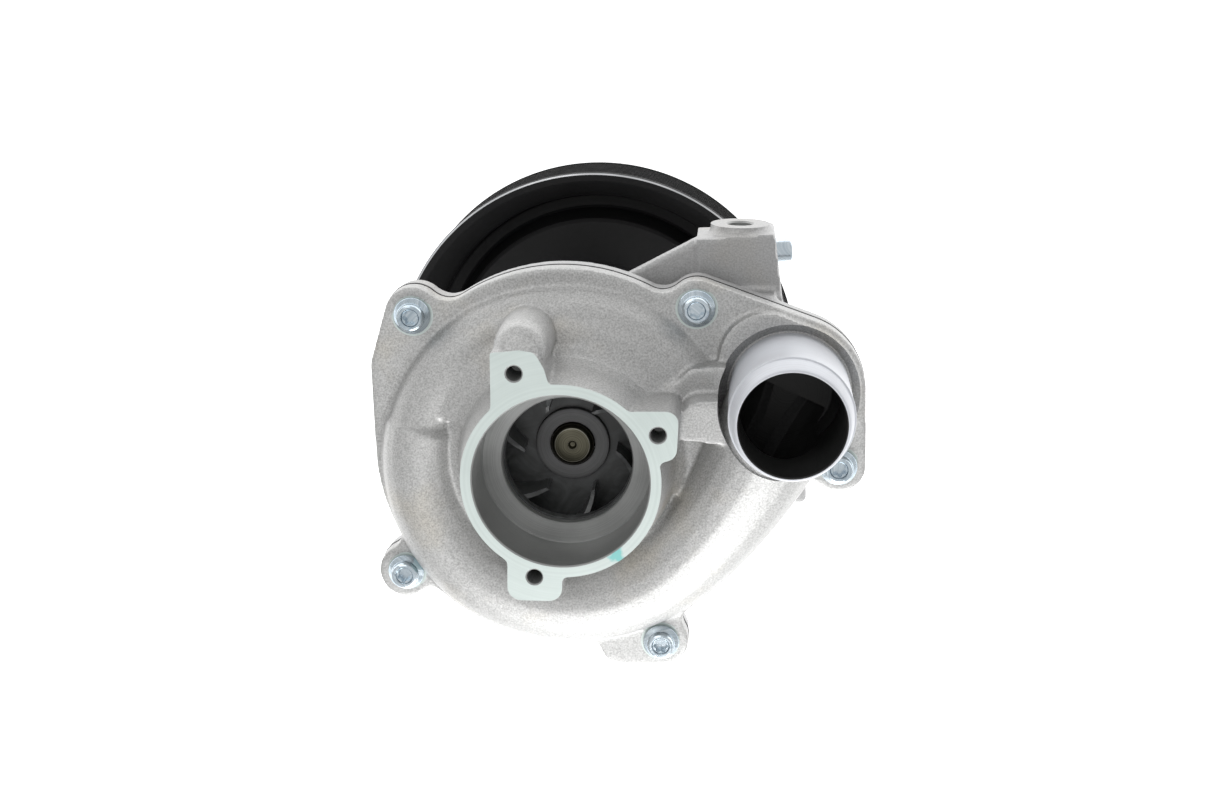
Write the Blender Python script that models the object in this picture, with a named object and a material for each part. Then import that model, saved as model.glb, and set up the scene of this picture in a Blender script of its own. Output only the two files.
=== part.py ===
"""Coolant pump: a volute cover on a bearing housing, with a shrouded impeller on a long shaft and a
multi-rib belt pulley.  Frame: +Z is the shaft's axis, from the pulley up to the inlet.  The origin is
on that axis, at the shaft's pulley end, which is level with the pulley's outer rim."""

import math

import bmesh
import bpy
from mathutils import Matrix, Vector

MM = 0.001
GAP = 0.3 * MM  # clearance left between touching pieces

# Heights along the shaft, from the pulley end
INLET_Z = 184 * MM
OUTLET_Z = 192 * MM
EYE_FLOOR_Z = 159.6 * MM
EYE_WALL = 4.0 * MM
SEAT_Z = 147.5 * MM
COVER_Z = 141 * MM
GASKET_T = 1.0 * MM
HOUSING_Z = COVER_Z - GASKET_T - 2 * GAP
HOUSING_FLANGE_T = 8 * MM
HOUSING_BACK_Z = HOUSING_Z - HOUSING_FLANGE_T
SHAFT_TOP_Z = 140 * MM
HUB_FACE_Z = 138 * MM
PULLEY_W = 34 * MM

# Inlet flange and eye
INLET_R = 35.2 * MM
INLET_ROOT_R = 38.5 * MM
INLET_BORE_R = 31.3 * MM
EYE_R = 23.8 * MM
EARS = (  # tapped holes of the inlet flange: x, y, radius of the ear
    (-15.8 * MM, 38.9 * MM, 9.6 * MM),
    (34.0 * MM, 17.9 * MM, 8.2 * MM),
    (-9.5 * MM, -35.6 * MM, 9.2 * MM),
)
LEDGE = (  # low step between the second ear and the outlet's boss, in mm
    (24, 18), (36, 12), (58, 10.5), (58, 35.8), (49, 35.6),
    (43.9, 34.7), (41.1, 32), (37.7, 28.6), (30.8, 28.5),
)
LEDGE_Z = 158 * MM
PAD = (  # raised pad on that step, in mm
    (36, 12.3), (40.6, 12.1), (50.7, 10.9), (58, 10.3), (58, 26.4),
    (46.6, 26), (43.8, 24.8), (40.8, 21.2), (40.2, 18.3),
)
PAD_Z = 170 * MM
TAPPED_R = 2.9 * MM
TAPPED_DEPTH = 14 * MM

# Outlet spigot
OUTLET_X, OUTLET_Y = 79.8 * MM, 24.5 * MM
OUTLET_BORE_R = 18.4 * MM
OUTLET_R = 22 * MM
OUTLET_TIP_R = 19.6 * MM
OUTLET_CONE_L = 9 * MM
OUTLET_BOSS_R = 25.6 * MM
OUTLET_BOSS_Z = 150.8 * MM
OUTLET_SHOULDER = (71.2 * MM, 37.0 * MM, 17.0 * MM)  # corner of the boss: x, y and radius
FACING_Z = 147.3 * MM  # floor of the facing cut round the spigot

# Cover screws: x, y, radius of the lug round each
LUGS = (
    (-57.5 * MM, 50.5 * MM, 10.4 * MM),
    (45.9 * MM, 54.9 * MM, 10.3 * MM),
    (-62.8 * MM, -49.2 * MM, 10.4 * MM),
    (34.3 * MM, -74.8 * MM, 10.3 * MM),
    (98.6 * MM, -3.4 * MM, 10.0 * MM),
)
SCREW_R = 2.9 * MM
SCREW_HOLE_R = 3.3 * MM
SCREW_HEAD_R = 6.8 * MM
SCREW_HEAD_H = 5.2 * MM
SCREW_L = 16 * MM
DOWELS = ((-66.0 * MM, 32.5 * MM), (19.5 * MM, -77.3 * MM))
DOWEL_R = 2.5 * MM

# Pump chamber and scroll
CHAMBER_R = 50 * MM
CHAMBER_TOP_Z = 150 * MM
SCROLL_START, SCROLL_END = math.radians(52), math.radians(300)
SCROLL_R = (6.0 * MM, 12.5 * MM)  # radius of the water passage, start and end
SCROLL_OUTER_R = (55.0 * MM, 69.5 * MM)  # reach of the passage from the shaft, start and end
THROAT_HEADING = (0.40, 0.917, 0)  # way the throat runs into the outlet
THROAT_PULL = (22 * MM, 40 * MM)  # length of the throat's bend at the scroll and at the outlet
SCROLL_WALL = 4 * MM
RECESS_Z = 131 * MM

# Bearing housing
SNOUT_Z = 44 * MM
SNOUT_R = 26 * MM
BEARING_BORE_R = 17.8 * MM
SEAL_BORE_R = 15.8 * MM
BACK_R = 58 * MM

# Mounting bracket on the housing
BRACKET = ((46.2, 40), (78.9, 40), (77.3, 52.7), (73.7, 78.6), (44.9, 76.0))  # outline of the block, in mm
BRACKET_Z = (100 * MM, 126 * MM)
BOSS_X, BOSS_Z = 60.9 * MM, 113 * MM
BOSS_R, BOSS_TOP_Y, BOSS_HOLE_R = 11 * MM, 80 * MM, 4.7 * MM
WEB = ((8, 20), (50, 30), (50, 74), (44.8, 76.0), (8, 56.2))  # outline of the bracket's web, in mm
WEB_Z = (118.5 * MM, 124.5 * MM)
FOOT = ((60, -25.8), (77, -22.6), (87.9, -20.7), (87.1, -8), (60, -8))  # outline of the foot, in mm
FOOT_Z = (122 * MM, 138 * MM)
PIN_R, PIN_L, PIN_TILT = 4.9 * MM, 12.8 * MM, math.radians(5)
PIN_START = (67.8 * MM, 69.2 * MM, 113 * MM)  # middle of the pin's inner end

# Shaft and bearing
SHAFT_R = 7.96 * MM
SLEEVE_R, SLEEVE_BORE_R = 17.5 * MM, 13.0 * MM
SLEEVE_Z = (50 * MM, 112 * MM)
BALL_Z, BALL_R, BALL_PITCH_R, BALL_COUNT = 99 * MM, 3.0 * MM, 10.9 * MM, 8
RACE_R = BALL_R + GAP
ROLLER_Z, ROLLER_R, ROLLER_L, ROLLER_PITCH_R, ROLLER_COUNT = 65 * MM, 2.2 * MM, 12 * MM, 10.5 * MM, 10

# Impeller
IMPELLER_R = 46 * MM
IMPELLER_BACK_Z = 133.4 * MM
IMPELLER_BACK_T = 2.6 * MM
IMPELLER_HUB_R = 13.8 * MM
BLADE_COUNT = 6
BLADE_T = 2.4 * MM

# Pulley
PULLEY_R = 87.2 * MM
GROOVE_COUNT, GROOVE_PITCH, GROOVE_DEPTH = 8, 3.56 * MM, 2.6 * MM
PULLEY_HUB_R = 27 * MM
PULLEY_HOLE_PITCH_R, PULLEY_BOLT_COUNT = 20 * MM, 4
PULLEY_WEB_Z = (12 * MM, 16 * MM)


def clear_scene():
    for item in list(bpy.data.objects):
        bpy.data.objects.remove(item)


def finish(name, colour, roughness, metallic):
    material = bpy.data.materials.new(name)
    material.use_nodes = True
    shader = material.node_tree.nodes["Principled BSDF"]
    shader.inputs["Base Color"].default_value = (*colour, 1)
    shader.inputs["Roughness"].default_value = roughness
    shader.inputs["Metallic"].default_value = metallic
    return material


def empty(name, parent=None):
    holder = bpy.data.objects.new(name, None)
    bpy.context.collection.objects.link(holder)
    holder.parent = parent
    return holder


def new_object(name, bm):
    """An object from a bmesh, with its faces turned outwards."""
    bmesh.ops.recalc_face_normals(bm, faces=bm.faces)
    mesh = bpy.data.meshes.new(name)
    bm.to_mesh(mesh)
    bm.free()
    item = bpy.data.objects.new(name, mesh)
    bpy.context.collection.objects.link(item)
    return item


def turned(name, profile, steps=36):
    """A closed profile of (radius, height) points spun about Z.  Points at radius 0 become poles."""
    bm = bmesh.new()
    rings = []
    for radius, height in profile:
        count = steps if radius > 0 else 1
        angles = [2 * math.pi * i / count for i in range(count)]
        rings.append([bm.verts.new((radius * math.cos(a), radius * math.sin(a), height)) for a in angles])
    for low, high in zip(rings, rings[1:] + rings[:1]):
        if len(low) == 1 and len(high) == 1:
            continue
        for i in range(steps):
            j = (i + 1) % steps
            corners = [low[i % len(low)], low[j % len(low)], high[j % len(high)], high[i % len(high)]]
            bm.faces.new(dict.fromkeys(corners))
    return new_object(name, bm)


def rod(name, radius, low, high, x=0.0, y=0.0, steps=24, axis="Z"):
    """A plain cylinder from low to high along an axis.  x and y are its place across that axis."""
    bm = bmesh.new()
    bmesh.ops.create_cone(
        bm, cap_ends=True, segments=steps, radius1=radius, radius2=radius, depth=high - low
    )
    middle = (low + high) / 2
    if axis == "Z":
        place = Matrix.Translation((x, y, middle))
    elif axis == "X":
        place = Matrix.Translation((middle, x, y)) @ Matrix.Rotation(math.pi / 2, 4, "Y")
    else:
        place = Matrix.Translation((x, middle, y)) @ Matrix.Rotation(math.pi / 2, 4, "X")
    bm.transform(place)
    return new_object(name, bm)


def block(name, x, y, z):
    """A box between two limits on each axis."""
    bm = bmesh.new()
    bmesh.ops.create_cube(bm, size=1)
    size = Matrix.Diagonal((x[1] - x[0], y[1] - y[0], z[1] - z[0], 1))
    bm.transform(Matrix.Translation((sum(x) / 2, sum(y) / 2, sum(z) / 2)) @ size)
    return new_object(name, bm)


def prism(name, outline, low, high):
    """A flat outline of (x, y) points pulled up from low to high."""
    bm = bmesh.new()
    base = bm.faces.new([bm.verts.new((x, y, low)) for x, y in outline])
    top = bmesh.ops.extrude_face_region(bm, geom=[base])
    raised = [item for item in top["geom"] if isinstance(item, bmesh.types.BMVert)]
    bmesh.ops.translate(bm, verts=raised, vec=(0, 0, high - low))
    return new_object(name, bm)


def combine(target, tool, operation):
    """Apply a Boolean with the tool, then remove the tool."""
    modifier = target.modifiers.new(operation.title(), "BOOLEAN")
    modifier.operation = operation
    modifier.solver = "EXACT"
    modifier.object = tool
    with bpy.context.temp_override(object=target, active_object=target):
        bpy.ops.object.modifier_apply(modifier=modifier.name)
    bm = bmesh.new()
    bm.from_mesh(target.data)
    bmesh.ops.remove_doubles(bm, verts=bm.verts, dist=0.001 * MM)
    bm.to_mesh(target.data)
    bm.free()
    bpy.data.objects.remove(tool)


def join(target, *tools):
    for tool in tools:
        combine(target, tool, "UNION")


def cut(target, *tools):
    for tool in tools:
        combine(target, tool, "DIFFERENCE")


def dress(item, material, parent):
    item.data.materials.clear()
    item.data.materials.append(material)
    item.data.shade_smooth()
    item.data.set_sharp_from_angle(angle=math.radians(35))
    item.parent = parent
    return item


# --- outline of the cover, the gasket and the housing flange


def fillet_centre(first, second, radius):
    """Centre of the arc of this radius that lies in the notch between two circles, on the right of
    the way from the first to the second."""
    (x1, y1, r1), (x2, y2, r2) = first, second
    a, b = r1 + radius, r2 + radius
    run = math.hypot(x2 - x1, y2 - y1)
    along = (a * a - b * b + run * run) / (2 * run)
    across = math.sqrt(a * a - along * along)
    ux, uy = (x2 - x1) / run, (y2 - y1) / run
    return x1 + ux * along + uy * across, y1 + uy * along - ux * across


def arc(x, y, radius, start, sweep, step=math.radians(15)):
    count = max(1, math.ceil(abs(sweep) / step))
    angles = [start + sweep * i / count for i in range(count + 1)]
    return [(x + radius * math.cos(a), y + radius * math.sin(a)) for a in angles]


def belt(circles):
    """Outline that runs anticlockwise round circles of (x, y, radius, fillet).  A fillet is the
    radius of the hollow arc to the next circle, or None for a straight tangent."""
    leave, reach = [], []
    hollows = []
    for index, (x1, y1, r1, hollow) in enumerate(circles):
        x2, y2, r2, _ = circles[(index + 1) % len(circles)]
        if hollow is None:
            run = math.hypot(x2 - x1, y2 - y1)
            normal = math.atan2(y2 - y1, x2 - x1) - math.acos((r1 - r2) / run)
            leave.append(normal)
            reach.append(normal)
            hollows.append(None)
        else:
            fx, fy = fillet_centre((x1, y1, r1), (x2, y2, r2), hollow)
            leave.append(math.atan2(fy - y1, fx - x1))
            reach.append(math.atan2(fy - y2, fx - x2))
            hollows.append((fx, fy))
    points = []
    for index, (x, y, radius, hollow) in enumerate(circles):
        start = reach[index - 1]
        sweep = (leave[index] - start) % (2 * math.pi)
        points += arc(x, y, radius, start, sweep)
        if hollow is not None:
            fx, fy = hollows[index]
            first = leave[index] + math.pi
            turn = (reach[index] + math.pi - first) % (2 * math.pi) - 2 * math.pi
            points += arc(fx, fy, hollow, first, turn)[1:-1]
    return points


def flange_outline():
    lug1, lug2, lug3, lug4, lug5 = LUGS
    top = (-2 * MM, 0, 68.8 * MM)
    left = (0, 0, 73 * MM)
    shoulder = (-66.5 * MM, 31 * MM, 7.3 * MM)
    bottom = (0, -1 * MM, 75.2 * MM)
    low_lug = (20 * MM, -76.3 * MM, 9 * MM)
    outlet = (79.5 * MM, 24.2 * MM, 28 * MM)
    return belt(
        (
            (*lug2, 8.5 * MM),
            (*top, 9 * MM),
            (*lug1, None),
            (*shoulder, None),
            (*left, 5 * MM),
            (*lug3, 4 * MM),
            (*bottom, 5 * MM),
            (*low_lug, None),
            (*lug4, 6 * MM),
            (*bottom, 12 * MM),
            (*lug5, None),
            (*outlet, None),
        )
    )


# --- scroll


def scroll_stations(wall, count=14, throat_count=7):
    """Centre and radius of the scroll's round section, from its tongue to the foot of the outlet."""
    stations = []
    for i in range(count + 1):
        part = i / count
        angle = SCROLL_START + (SCROLL_END - SCROLL_START) * part
        radius = SCROLL_R[0] + (SCROLL_R[1] - SCROLL_R[0]) * part
        reach = SCROLL_OUTER_R[0] + (SCROLL_OUTER_R[1] - SCROLL_OUTER_R[0]) * min(1, part / 0.72)
        run = reach - radius
        height = COVER_Z + 0.42 * radius
        stations.append((Vector((run * math.cos(angle), run * math.sin(angle), height)), radius + wall))
    first = stations[-1][0]
    foot = Vector((OUTLET_X, OUTLET_Y, COVER_Z + 15 * MM))
    leave = first + Vector((-math.sin(SCROLL_END), math.cos(SCROLL_END), 0)) * THROAT_PULL[0]
    arrive = foot - Vector(THROAT_HEADING) * THROAT_PULL[1]
    for i in range(1, throat_count + 1):  # the throat is a cubic curve
        t = i / throat_count
        u = 1 - t
        centre = first * u**3 + leave * 3 * t * u**2 + arrive * 3 * t**2 * u + foot * t**3
        radius = SCROLL_R[1] + (OUTLET_BORE_R - 1 * MM - SCROLL_R[1]) * t**2
        stations.append((centre, radius + wall))
    return stations


def swept(name, stations, sides=12):
    """A tube of round sections through the stations, closed at both ends."""
    bm = bmesh.new()
    rings = []
    for index, (centre, radius) in enumerate(stations):
        before = stations[max(index - 1, 0)][0]
        after = stations[min(index + 1, len(stations) - 1)][0]
        along = (after - before).normalized()
        out = along.cross(Vector((0, 0, 1))).normalized()
        up = out.cross(along)
        rings.append(
            [
                bm.verts.new(centre + radius * (math.cos(a) * out + math.sin(a) * up))
                for a in (2 * math.pi * i / sides for i in range(sides))
            ]
        )
    for low, high in zip(rings, rings[1:]):
        for i in range(sides):
            j = (i + 1) % sides
            bm.faces.new((low[i], low[j], high[j], high[i]))
    bm.faces.new(rings[0])
    bm.faces.new(rings[-1])
    return new_object(name, bm)


# --- stationary pieces


def make_cover():
    cover = prism("volute_cover", flange_outline(), COVER_Z, SEAT_Z)
    casing = turned(
        "casing",
        [
            (0, COVER_Z + MM),
            (62 * MM, COVER_Z + MM),
            (61 * MM, SEAT_Z + 1 * MM),
            (56.5 * MM, 153.5 * MM),
            (47 * MM, 157.5 * MM),
            (INLET_ROOT_R + 1.5 * MM, 161 * MM),
            (INLET_ROOT_R, 164 * MM),
            (INLET_R, INLET_Z),
            (0, INLET_Z),
        ],
    )
    scroll = swept("scroll", scroll_stations(SCROLL_WALL))
    cut(scroll, block("below", (-0.2, 0.2), (-0.2, 0.2), (0.1, COVER_Z + 0.5 * MM)))
    boss_outline = belt(((*OUTLET_SHOULDER, None), (OUTLET_X, OUTLET_Y, OUTLET_BOSS_R, None)))
    boss = prism("outlet_boss", boss_outline, COVER_Z + 1.5 * MM, OUTLET_BOSS_Z)
    ledge = prism("ledge", [(x * MM, y * MM) for x, y in LEDGE], SEAT_Z - 2 * MM, LEDGE_Z)
    pad = prism("pad", [(x * MM, y * MM) for x, y in PAD], SEAT_Z - 1 * MM, PAD_Z)
    facing = turned(
        "facing",
        [
            (0, FACING_Z),
            (OUTLET_R + 0.6 * MM, FACING_Z),
            (OUTLET_BOSS_R + 0.1 * MM, FACING_Z + 2.8 * MM),
            (OUTLET_BOSS_R + 0.1 * MM, OUTLET_Z + MM),
            (0, OUTLET_Z + MM),
        ],
        32,
    )
    facing.data.transform(Matrix.Translation((OUTLET_X, OUTLET_Y, 0)))
    outlet = turned(
        "outlet",
        [
            (0, COVER_Z + 2.5 * MM),
            (OUTLET_R, COVER_Z + 2.5 * MM),
            (OUTLET_R, OUTLET_Z - OUTLET_CONE_L),
            (OUTLET_TIP_R, OUTLET_Z),
            (0, OUTLET_Z),
        ],
        36,
    )
    outlet.data.transform(Matrix.Translation((OUTLET_X, OUTLET_Y, 0)))
    join(cover, casing, boss, ledge, pad)
    for index, (x, y, radius) in enumerate(EARS):
        low = INLET_Z - 29 * MM
        join(cover, rod(f"ear_{index}", radius, low, INLET_Z, x, y))
        inward = Vector((-x, -y)).normalized() * radius
        slim = radius - 0.2 * MM
        outline = belt(((x, y, slim, None), (x + inward.x, y + inward.y, slim, None)))
        join(cover, prism("ear_web", outline, low + MM, INLET_Z - 0.5 * MM))
    cut(cover, facing)
    join(cover, scroll, outlet)

    water = turned(
        "water",
        [
            (0, COVER_Z - 2 * MM),
            (CHAMBER_R, COVER_Z - 2 * MM),
            (CHAMBER_R, CHAMBER_TOP_Z - 3 * MM),
            (CHAMBER_R - 4 * MM, CHAMBER_TOP_Z),
            (27 * MM, EYE_FLOOR_Z - EYE_WALL),
            (EYE_R, EYE_FLOOR_Z - EYE_WALL),
            (EYE_R, EYE_FLOOR_Z),
            (INLET_BORE_R, EYE_FLOOR_Z),
            (INLET_BORE_R, INLET_Z - 0.8 * MM),
            (INLET_BORE_R + 1.6 * MM, INLET_Z + 0.8 * MM),
            (0, INLET_Z + 0.8 * MM),
        ],
    )
    passage = swept("passage", scroll_stations(0.0))
    bore = turned(
        "bore",
        [
            (0, COVER_Z + 6 * MM),
            (OUTLET_BORE_R - 3 * MM, COVER_Z + 6 * MM),
            (OUTLET_BORE_R, COVER_Z + 10 * MM),
            (OUTLET_BORE_R, OUTLET_Z + 2 * MM),
            (0, OUTLET_Z + 2 * MM),
        ],
        36,
    )
    bore.data.transform(Matrix.Translation((OUTLET_X, OUTLET_Y, 0)))
    cut(cover, water, passage, bore)
    for x, y, _ in EARS:
        cut(cover, rod("tapped", TAPPED_R, INLET_Z - TAPPED_DEPTH, INLET_Z + MM, x, y, 16))
    for x, y, _ in LUGS:
        cut(cover, rod("spot", 7.6 * MM, SEAT_Z, INLET_Z + 20 * MM, x, y, 20))
        cut(cover, rod("screw_hole", SCREW_HOLE_R, COVER_Z - MM, SEAT_Z + MM, x, y, 16))
    for x, y in DOWELS:
        cut(cover, rod("dowel_hole", DOWEL_R + GAP, COVER_Z - MM, COVER_Z + 4.5 * MM, x, y, 12))
    return cover


def make_gasket():
    low = HOUSING_Z + GAP
    high = COVER_Z - GAP
    gasket = prism("cover_gasket", flange_outline(), low, high)
    window = rod("window", CHAMBER_R + 3 * MM, low - MM, high + MM, steps=36)
    cut(gasket, window, swept("passage", scroll_stations(0.0)))
    for x, y, _ in LUGS:
        cut(gasket, rod("screw_hole", SCREW_HOLE_R, low - MM, high + MM, x, y, 12))
    for x, y in DOWELS:
        cut(gasket, rod("dowel_hole", DOWEL_R + GAP, low - MM, high + MM, x, y, 12))
    return gasket


def pin_blank(name, extra, steps):
    """The bracket's pin, or the hole for it, larger all over by an extra."""
    radius, low, high = PIN_R + extra, -extra, PIN_L + extra
    chamfer = 0.7 * MM
    blank = turned(
        name,
        [
            (0, low),
            (radius - chamfer, low),
            (radius, low + chamfer),
            (radius, high - chamfer),
            (radius - chamfer, high),
            (0, high),
        ],
        steps,
    )
    tilt = Matrix.Rotation(PIN_TILT, 4, "Z") @ Matrix.Rotation(math.pi / 2, 4, "Y")
    blank.data.transform(Matrix.Translation(PIN_START) @ tilt)
    return blank


def make_housing():
    housing = prism("rear_housing", flange_outline(), HOUSING_BACK_Z, HOUSING_Z)
    body = turned(
        "body",
        [
            (0, SNOUT_Z),
            (SNOUT_R - 1.5 * MM, SNOUT_Z),
            (SNOUT_R, SNOUT_Z + 1.5 * MM),
            (SNOUT_R + 1.5 * MM, 104 * MM),
            (34 * MM, 118 * MM),
            (BACK_R, 125 * MM),
            (BACK_R + 2 * MM, HOUSING_BACK_Z + 2 * MM),
            (0, HOUSING_BACK_Z + 2 * MM),
        ],
    )
    bracket = prism("bracket", [(x * MM, y * MM) for x, y in BRACKET], *BRACKET_Z)
    neck = block("neck", (47 * MM, 74.5 * MM), (36 * MM, 57 * MM), (120 * MM, 133 * MM))
    boss = rod("boss", BOSS_R, 38 * MM, BOSS_TOP_Y, BOSS_X, BOSS_Z, axis="Y")
    web = prism("web", [(x * MM, y * MM) for x, y in WEB], *WEB_Z)
    foot = prism("foot", [(x * MM, y * MM) for x, y in FOOT], *FOOT_Z)
    join(housing, body, bracket, neck, boss, web, foot)
    for turn in range(6):
        fin = prism(
            "fin",
            [(20 * MM, -2.5 * MM), (54 * MM, -2.5 * MM), (54 * MM, 2.5 * MM), (20 * MM, 2.5 * MM)],
            88 * MM,
            127 * MM,
        )
        slope = block("slope", (0, 0.1), (-0.02, 0.02), (-0.1, 0))
        slope.data.transform(
            Matrix.Translation((SNOUT_R + MM, 0, 88 * MM)) @ Matrix.Rotation(math.radians(-50), 4, "Y")
        )
        cut(fin, slope)
        fin.data.transform(Matrix.Rotation(math.radians(60 * turn + 8), 4, "Z"))
        join(housing, fin)
    cut(
        housing,
        rod("recess", CHAMBER_R, RECESS_Z, HOUSING_Z + MM, steps=48),
        rod("seal_bore", SEAL_BORE_R, SLEEVE_Z[1] - MM, RECESS_Z + MM, steps=48),
        rod("bearing_bore", BEARING_BORE_R, SNOUT_Z - MM, SLEEVE_Z[1] + GAP, steps=48),
        rod("boss_hole", BOSS_HOLE_R, 30 * MM, BOSS_TOP_Y + MM, BOSS_X, BOSS_Z, 20, "Y"),
        pin_blank("pin_hole", GAP, 20),
        rod("weep_hole", 2.3 * MM, -60 * MM, -10 * MM, 0, 114.8 * MM, 12, "Y"),
    )
    for x, y, _ in LUGS:
        cut(housing, rod("screw_hole", SCREW_HOLE_R, 110 * MM, HOUSING_Z + MM, x, y, 16))
    for x, y in DOWELS:
        cut(housing, rod("dowel_hole", DOWEL_R + GAP, HOUSING_Z - 5 * MM, HOUSING_Z + MM, x, y, 12))
    return housing


def make_screw(name, x, y):
    base = SEAT_Z + GAP
    screw = turned(
        name,
        [
            (0, base - SCREW_L),
            (SCREW_R - 0.5 * MM, base - SCREW_L),
            (SCREW_R, base - SCREW_L + 0.7 * MM),
            (SCREW_R, base),
            (SCREW_HEAD_R, base),
            (SCREW_HEAD_R, base + 1.2 * MM),
            (5.4 * MM, base + 2.4 * MM),
            (4.9 * MM, base + SCREW_HEAD_H),
            (3.3 * MM, base + SCREW_HEAD_H),
            (3.1 * MM, base + SCREW_HEAD_H - 2.6 * MM),
            (0, base + SCREW_HEAD_H - 2.6 * MM),
        ],
        14,
    )
    screw.location = (x, y, 0)
    return screw


def make_pin():
    return pin_blank("bracket_pin", 0, 18)


# --- shaft, bearing and seal


def race_points(centre_z, side, count=4):
    """Points of a ball groove, in order up the shaft: side -1 is the shaft's groove and 1 the
    sleeve's."""
    surface = SHAFT_R if side < 0 else SLEEVE_BORE_R
    half = math.acos(abs(surface - BALL_PITCH_R) / RACE_R)
    angles = [-half + 2 * half * i / count for i in range(count + 1)]
    return [(BALL_PITCH_R + side * RACE_R * math.cos(a), centre_z + RACE_R * math.sin(a)) for a in angles]


def make_shaft():
    profile = [(0, 0), (SHAFT_R - MM, 0), (SHAFT_R, MM)]
    profile += race_points(BALL_Z, -1)
    profile += [(SHAFT_R, SHAFT_TOP_Z - 1.5 * MM), (6.45 * MM, SHAFT_TOP_Z)]
    profile += [(1.6 * MM, SHAFT_TOP_Z), (0, SHAFT_TOP_Z - 1.6 * MM)]
    return turned("shaft", profile, 28)


def make_sleeve():
    low, high = SLEEVE_Z
    profile = [
        (SLEEVE_BORE_R, low),
        (SLEEVE_R - MM, low),
        (SLEEVE_R, low + MM),
        (SLEEVE_R, high - MM),
        (SLEEVE_R - MM, high),
        (SLEEVE_BORE_R, high),
    ]
    profile += reversed(race_points(BALL_Z, 1))
    return turned("bearing_sleeve", profile, 28)


def make_ball(index):
    bm = bmesh.new()
    bmesh.ops.create_uvsphere(bm, u_segments=10, v_segments=6, radius=BALL_R)
    ball = new_object(f"bearing_ball_{index + 1}", bm)
    angle = 2 * math.pi * index / BALL_COUNT
    ball.location = (BALL_PITCH_R * math.cos(angle), BALL_PITCH_R * math.sin(angle), BALL_Z)
    return ball


def make_roller(index):
    half = ROLLER_L / 2
    profile = [(0, -half), (ROLLER_R - 0.3 * MM, -half), (ROLLER_R, -half + 0.3 * MM)]
    profile += [(ROLLER_R, half - 0.3 * MM), (ROLLER_R - 0.3 * MM, half), (0, half)]
    roller = turned(f"bearing_roller_{index + 1}", profile, 10)
    angle = 2 * math.pi * index / ROLLER_COUNT
    roller.location = (ROLLER_PITCH_R * math.cos(angle), ROLLER_PITCH_R * math.sin(angle), ROLLER_Z)
    return roller


def ring(name, inner, outer, low, high, steps=24):
    return turned(name, [(inner, low), (outer, low), (outer, high), (inner, high)], steps)


def make_ball_cage():
    half = 4.2 * MM
    cage = ring("ball_cage", 10.1 * MM, 11.9 * MM, BALL_Z - half, BALL_Z + half, 24)
    for index in range(BALL_COUNT):
        pocket = rod("pocket", BALL_R + GAP, 6 * MM, 16 * MM, 0, 0, 10, "X")
        turn = Matrix.Rotation(2 * math.pi * index / BALL_COUNT, 4, "Z")
        pocket.data.transform(Matrix.Translation((0, 0, BALL_Z)) @ turn)
        cut(cage, pocket)
    return cage


def make_roller_cage():
    half = ROLLER_L / 2
    reach = half + 2.2 * MM
    cage = ring("roller_cage", 9.6 * MM, 11.4 * MM, ROLLER_Z - reach, ROLLER_Z + reach, 20)
    for index in range(ROLLER_COUNT):
        window = block(
            "window",
            (7 * MM, 15 * MM),
            (-ROLLER_R - GAP, ROLLER_R + GAP),
            (ROLLER_Z - half - GAP, ROLLER_Z + half + GAP),
        )
        window.data.transform(Matrix.Rotation(2 * math.pi * index / ROLLER_COUNT, 4, "Z"))
        cut(cage, window)
    return cage


def make_seal_cup():
    """Pressed steel cup that holds the stationary half of the shaft seal in the housing."""
    return turned(
        "seal_cup",
        [
            (10.4 * MM, 117.5 * MM),
            (15.5 * MM, 117.5 * MM),
            (15.5 * MM, 127 * MM),
            (15.0 * MM, 127 * MM),
            (15.0 * MM, 118.2 * MM),
            (10.4 * MM, 118.2 * MM),
        ],
        24,
    )


def make_seal_bellows():
    return turned(
        "seal_bellows",
        [
            (9.0 * MM, 118.5 * MM),
            (11.0 * MM, 118.5 * MM),
            (11.0 * MM, 120.5 * MM),
            (10.0 * MM, 121.2 * MM),
            (11.0 * MM, 122.0 * MM),
            (10.0 * MM, 122.8 * MM),
            (11.0 * MM, 123.6 * MM),
            (11.0 * MM, 124.6 * MM),
            (9.0 * MM, 124.6 * MM),
        ],
        20,
    )


def make_seal_spring():
    """Coil spring round the bellows, with closed ends."""
    turns, wire, radius = 3.0, 0.55 * MM, 13.0 * MM
    low, high = 119.2 * MM, 124.2 * MM
    steps, sides = 36, 5
    bm = bmesh.new()
    rings = []
    for i in range(steps + 1):
        part = i / steps
        angle = 2 * math.pi * turns * part
        centre = Vector((radius * math.cos(angle), radius * math.sin(angle), low + (high - low) * part))
        out = Vector((math.cos(angle), math.sin(angle), 0))
        up = Vector((0, 0, 1))
        rings.append(
            [
                bm.verts.new(centre + wire * (math.cos(a) * out + math.sin(a) * up))
                for a in (2 * math.pi * k / sides for k in range(sides))
            ]
        )
    for low_ring, high_ring in zip(rings, rings[1:]):
        for k in range(sides):
            j = (k + 1) % sides
            bm.faces.new((low_ring[k], low_ring[j], high_ring[j], high_ring[k]))
    bm.faces.new(rings[0])
    bm.faces.new(rings[-1])
    return new_object("seal_spring", bm)


# --- rotor


def shroud_height(radius):
    """Height of the shroud's underside over the blades, falling from the eye to the rim."""
    part = (radius - 24 * MM) / (IMPELLER_R - 24 * MM)
    return (150.5 - 7.5 * max(0, min(1, part)) ** 0.8) * MM


SHROUD_RADII = (24, 28, 34, 40, 46)  # mm


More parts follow.
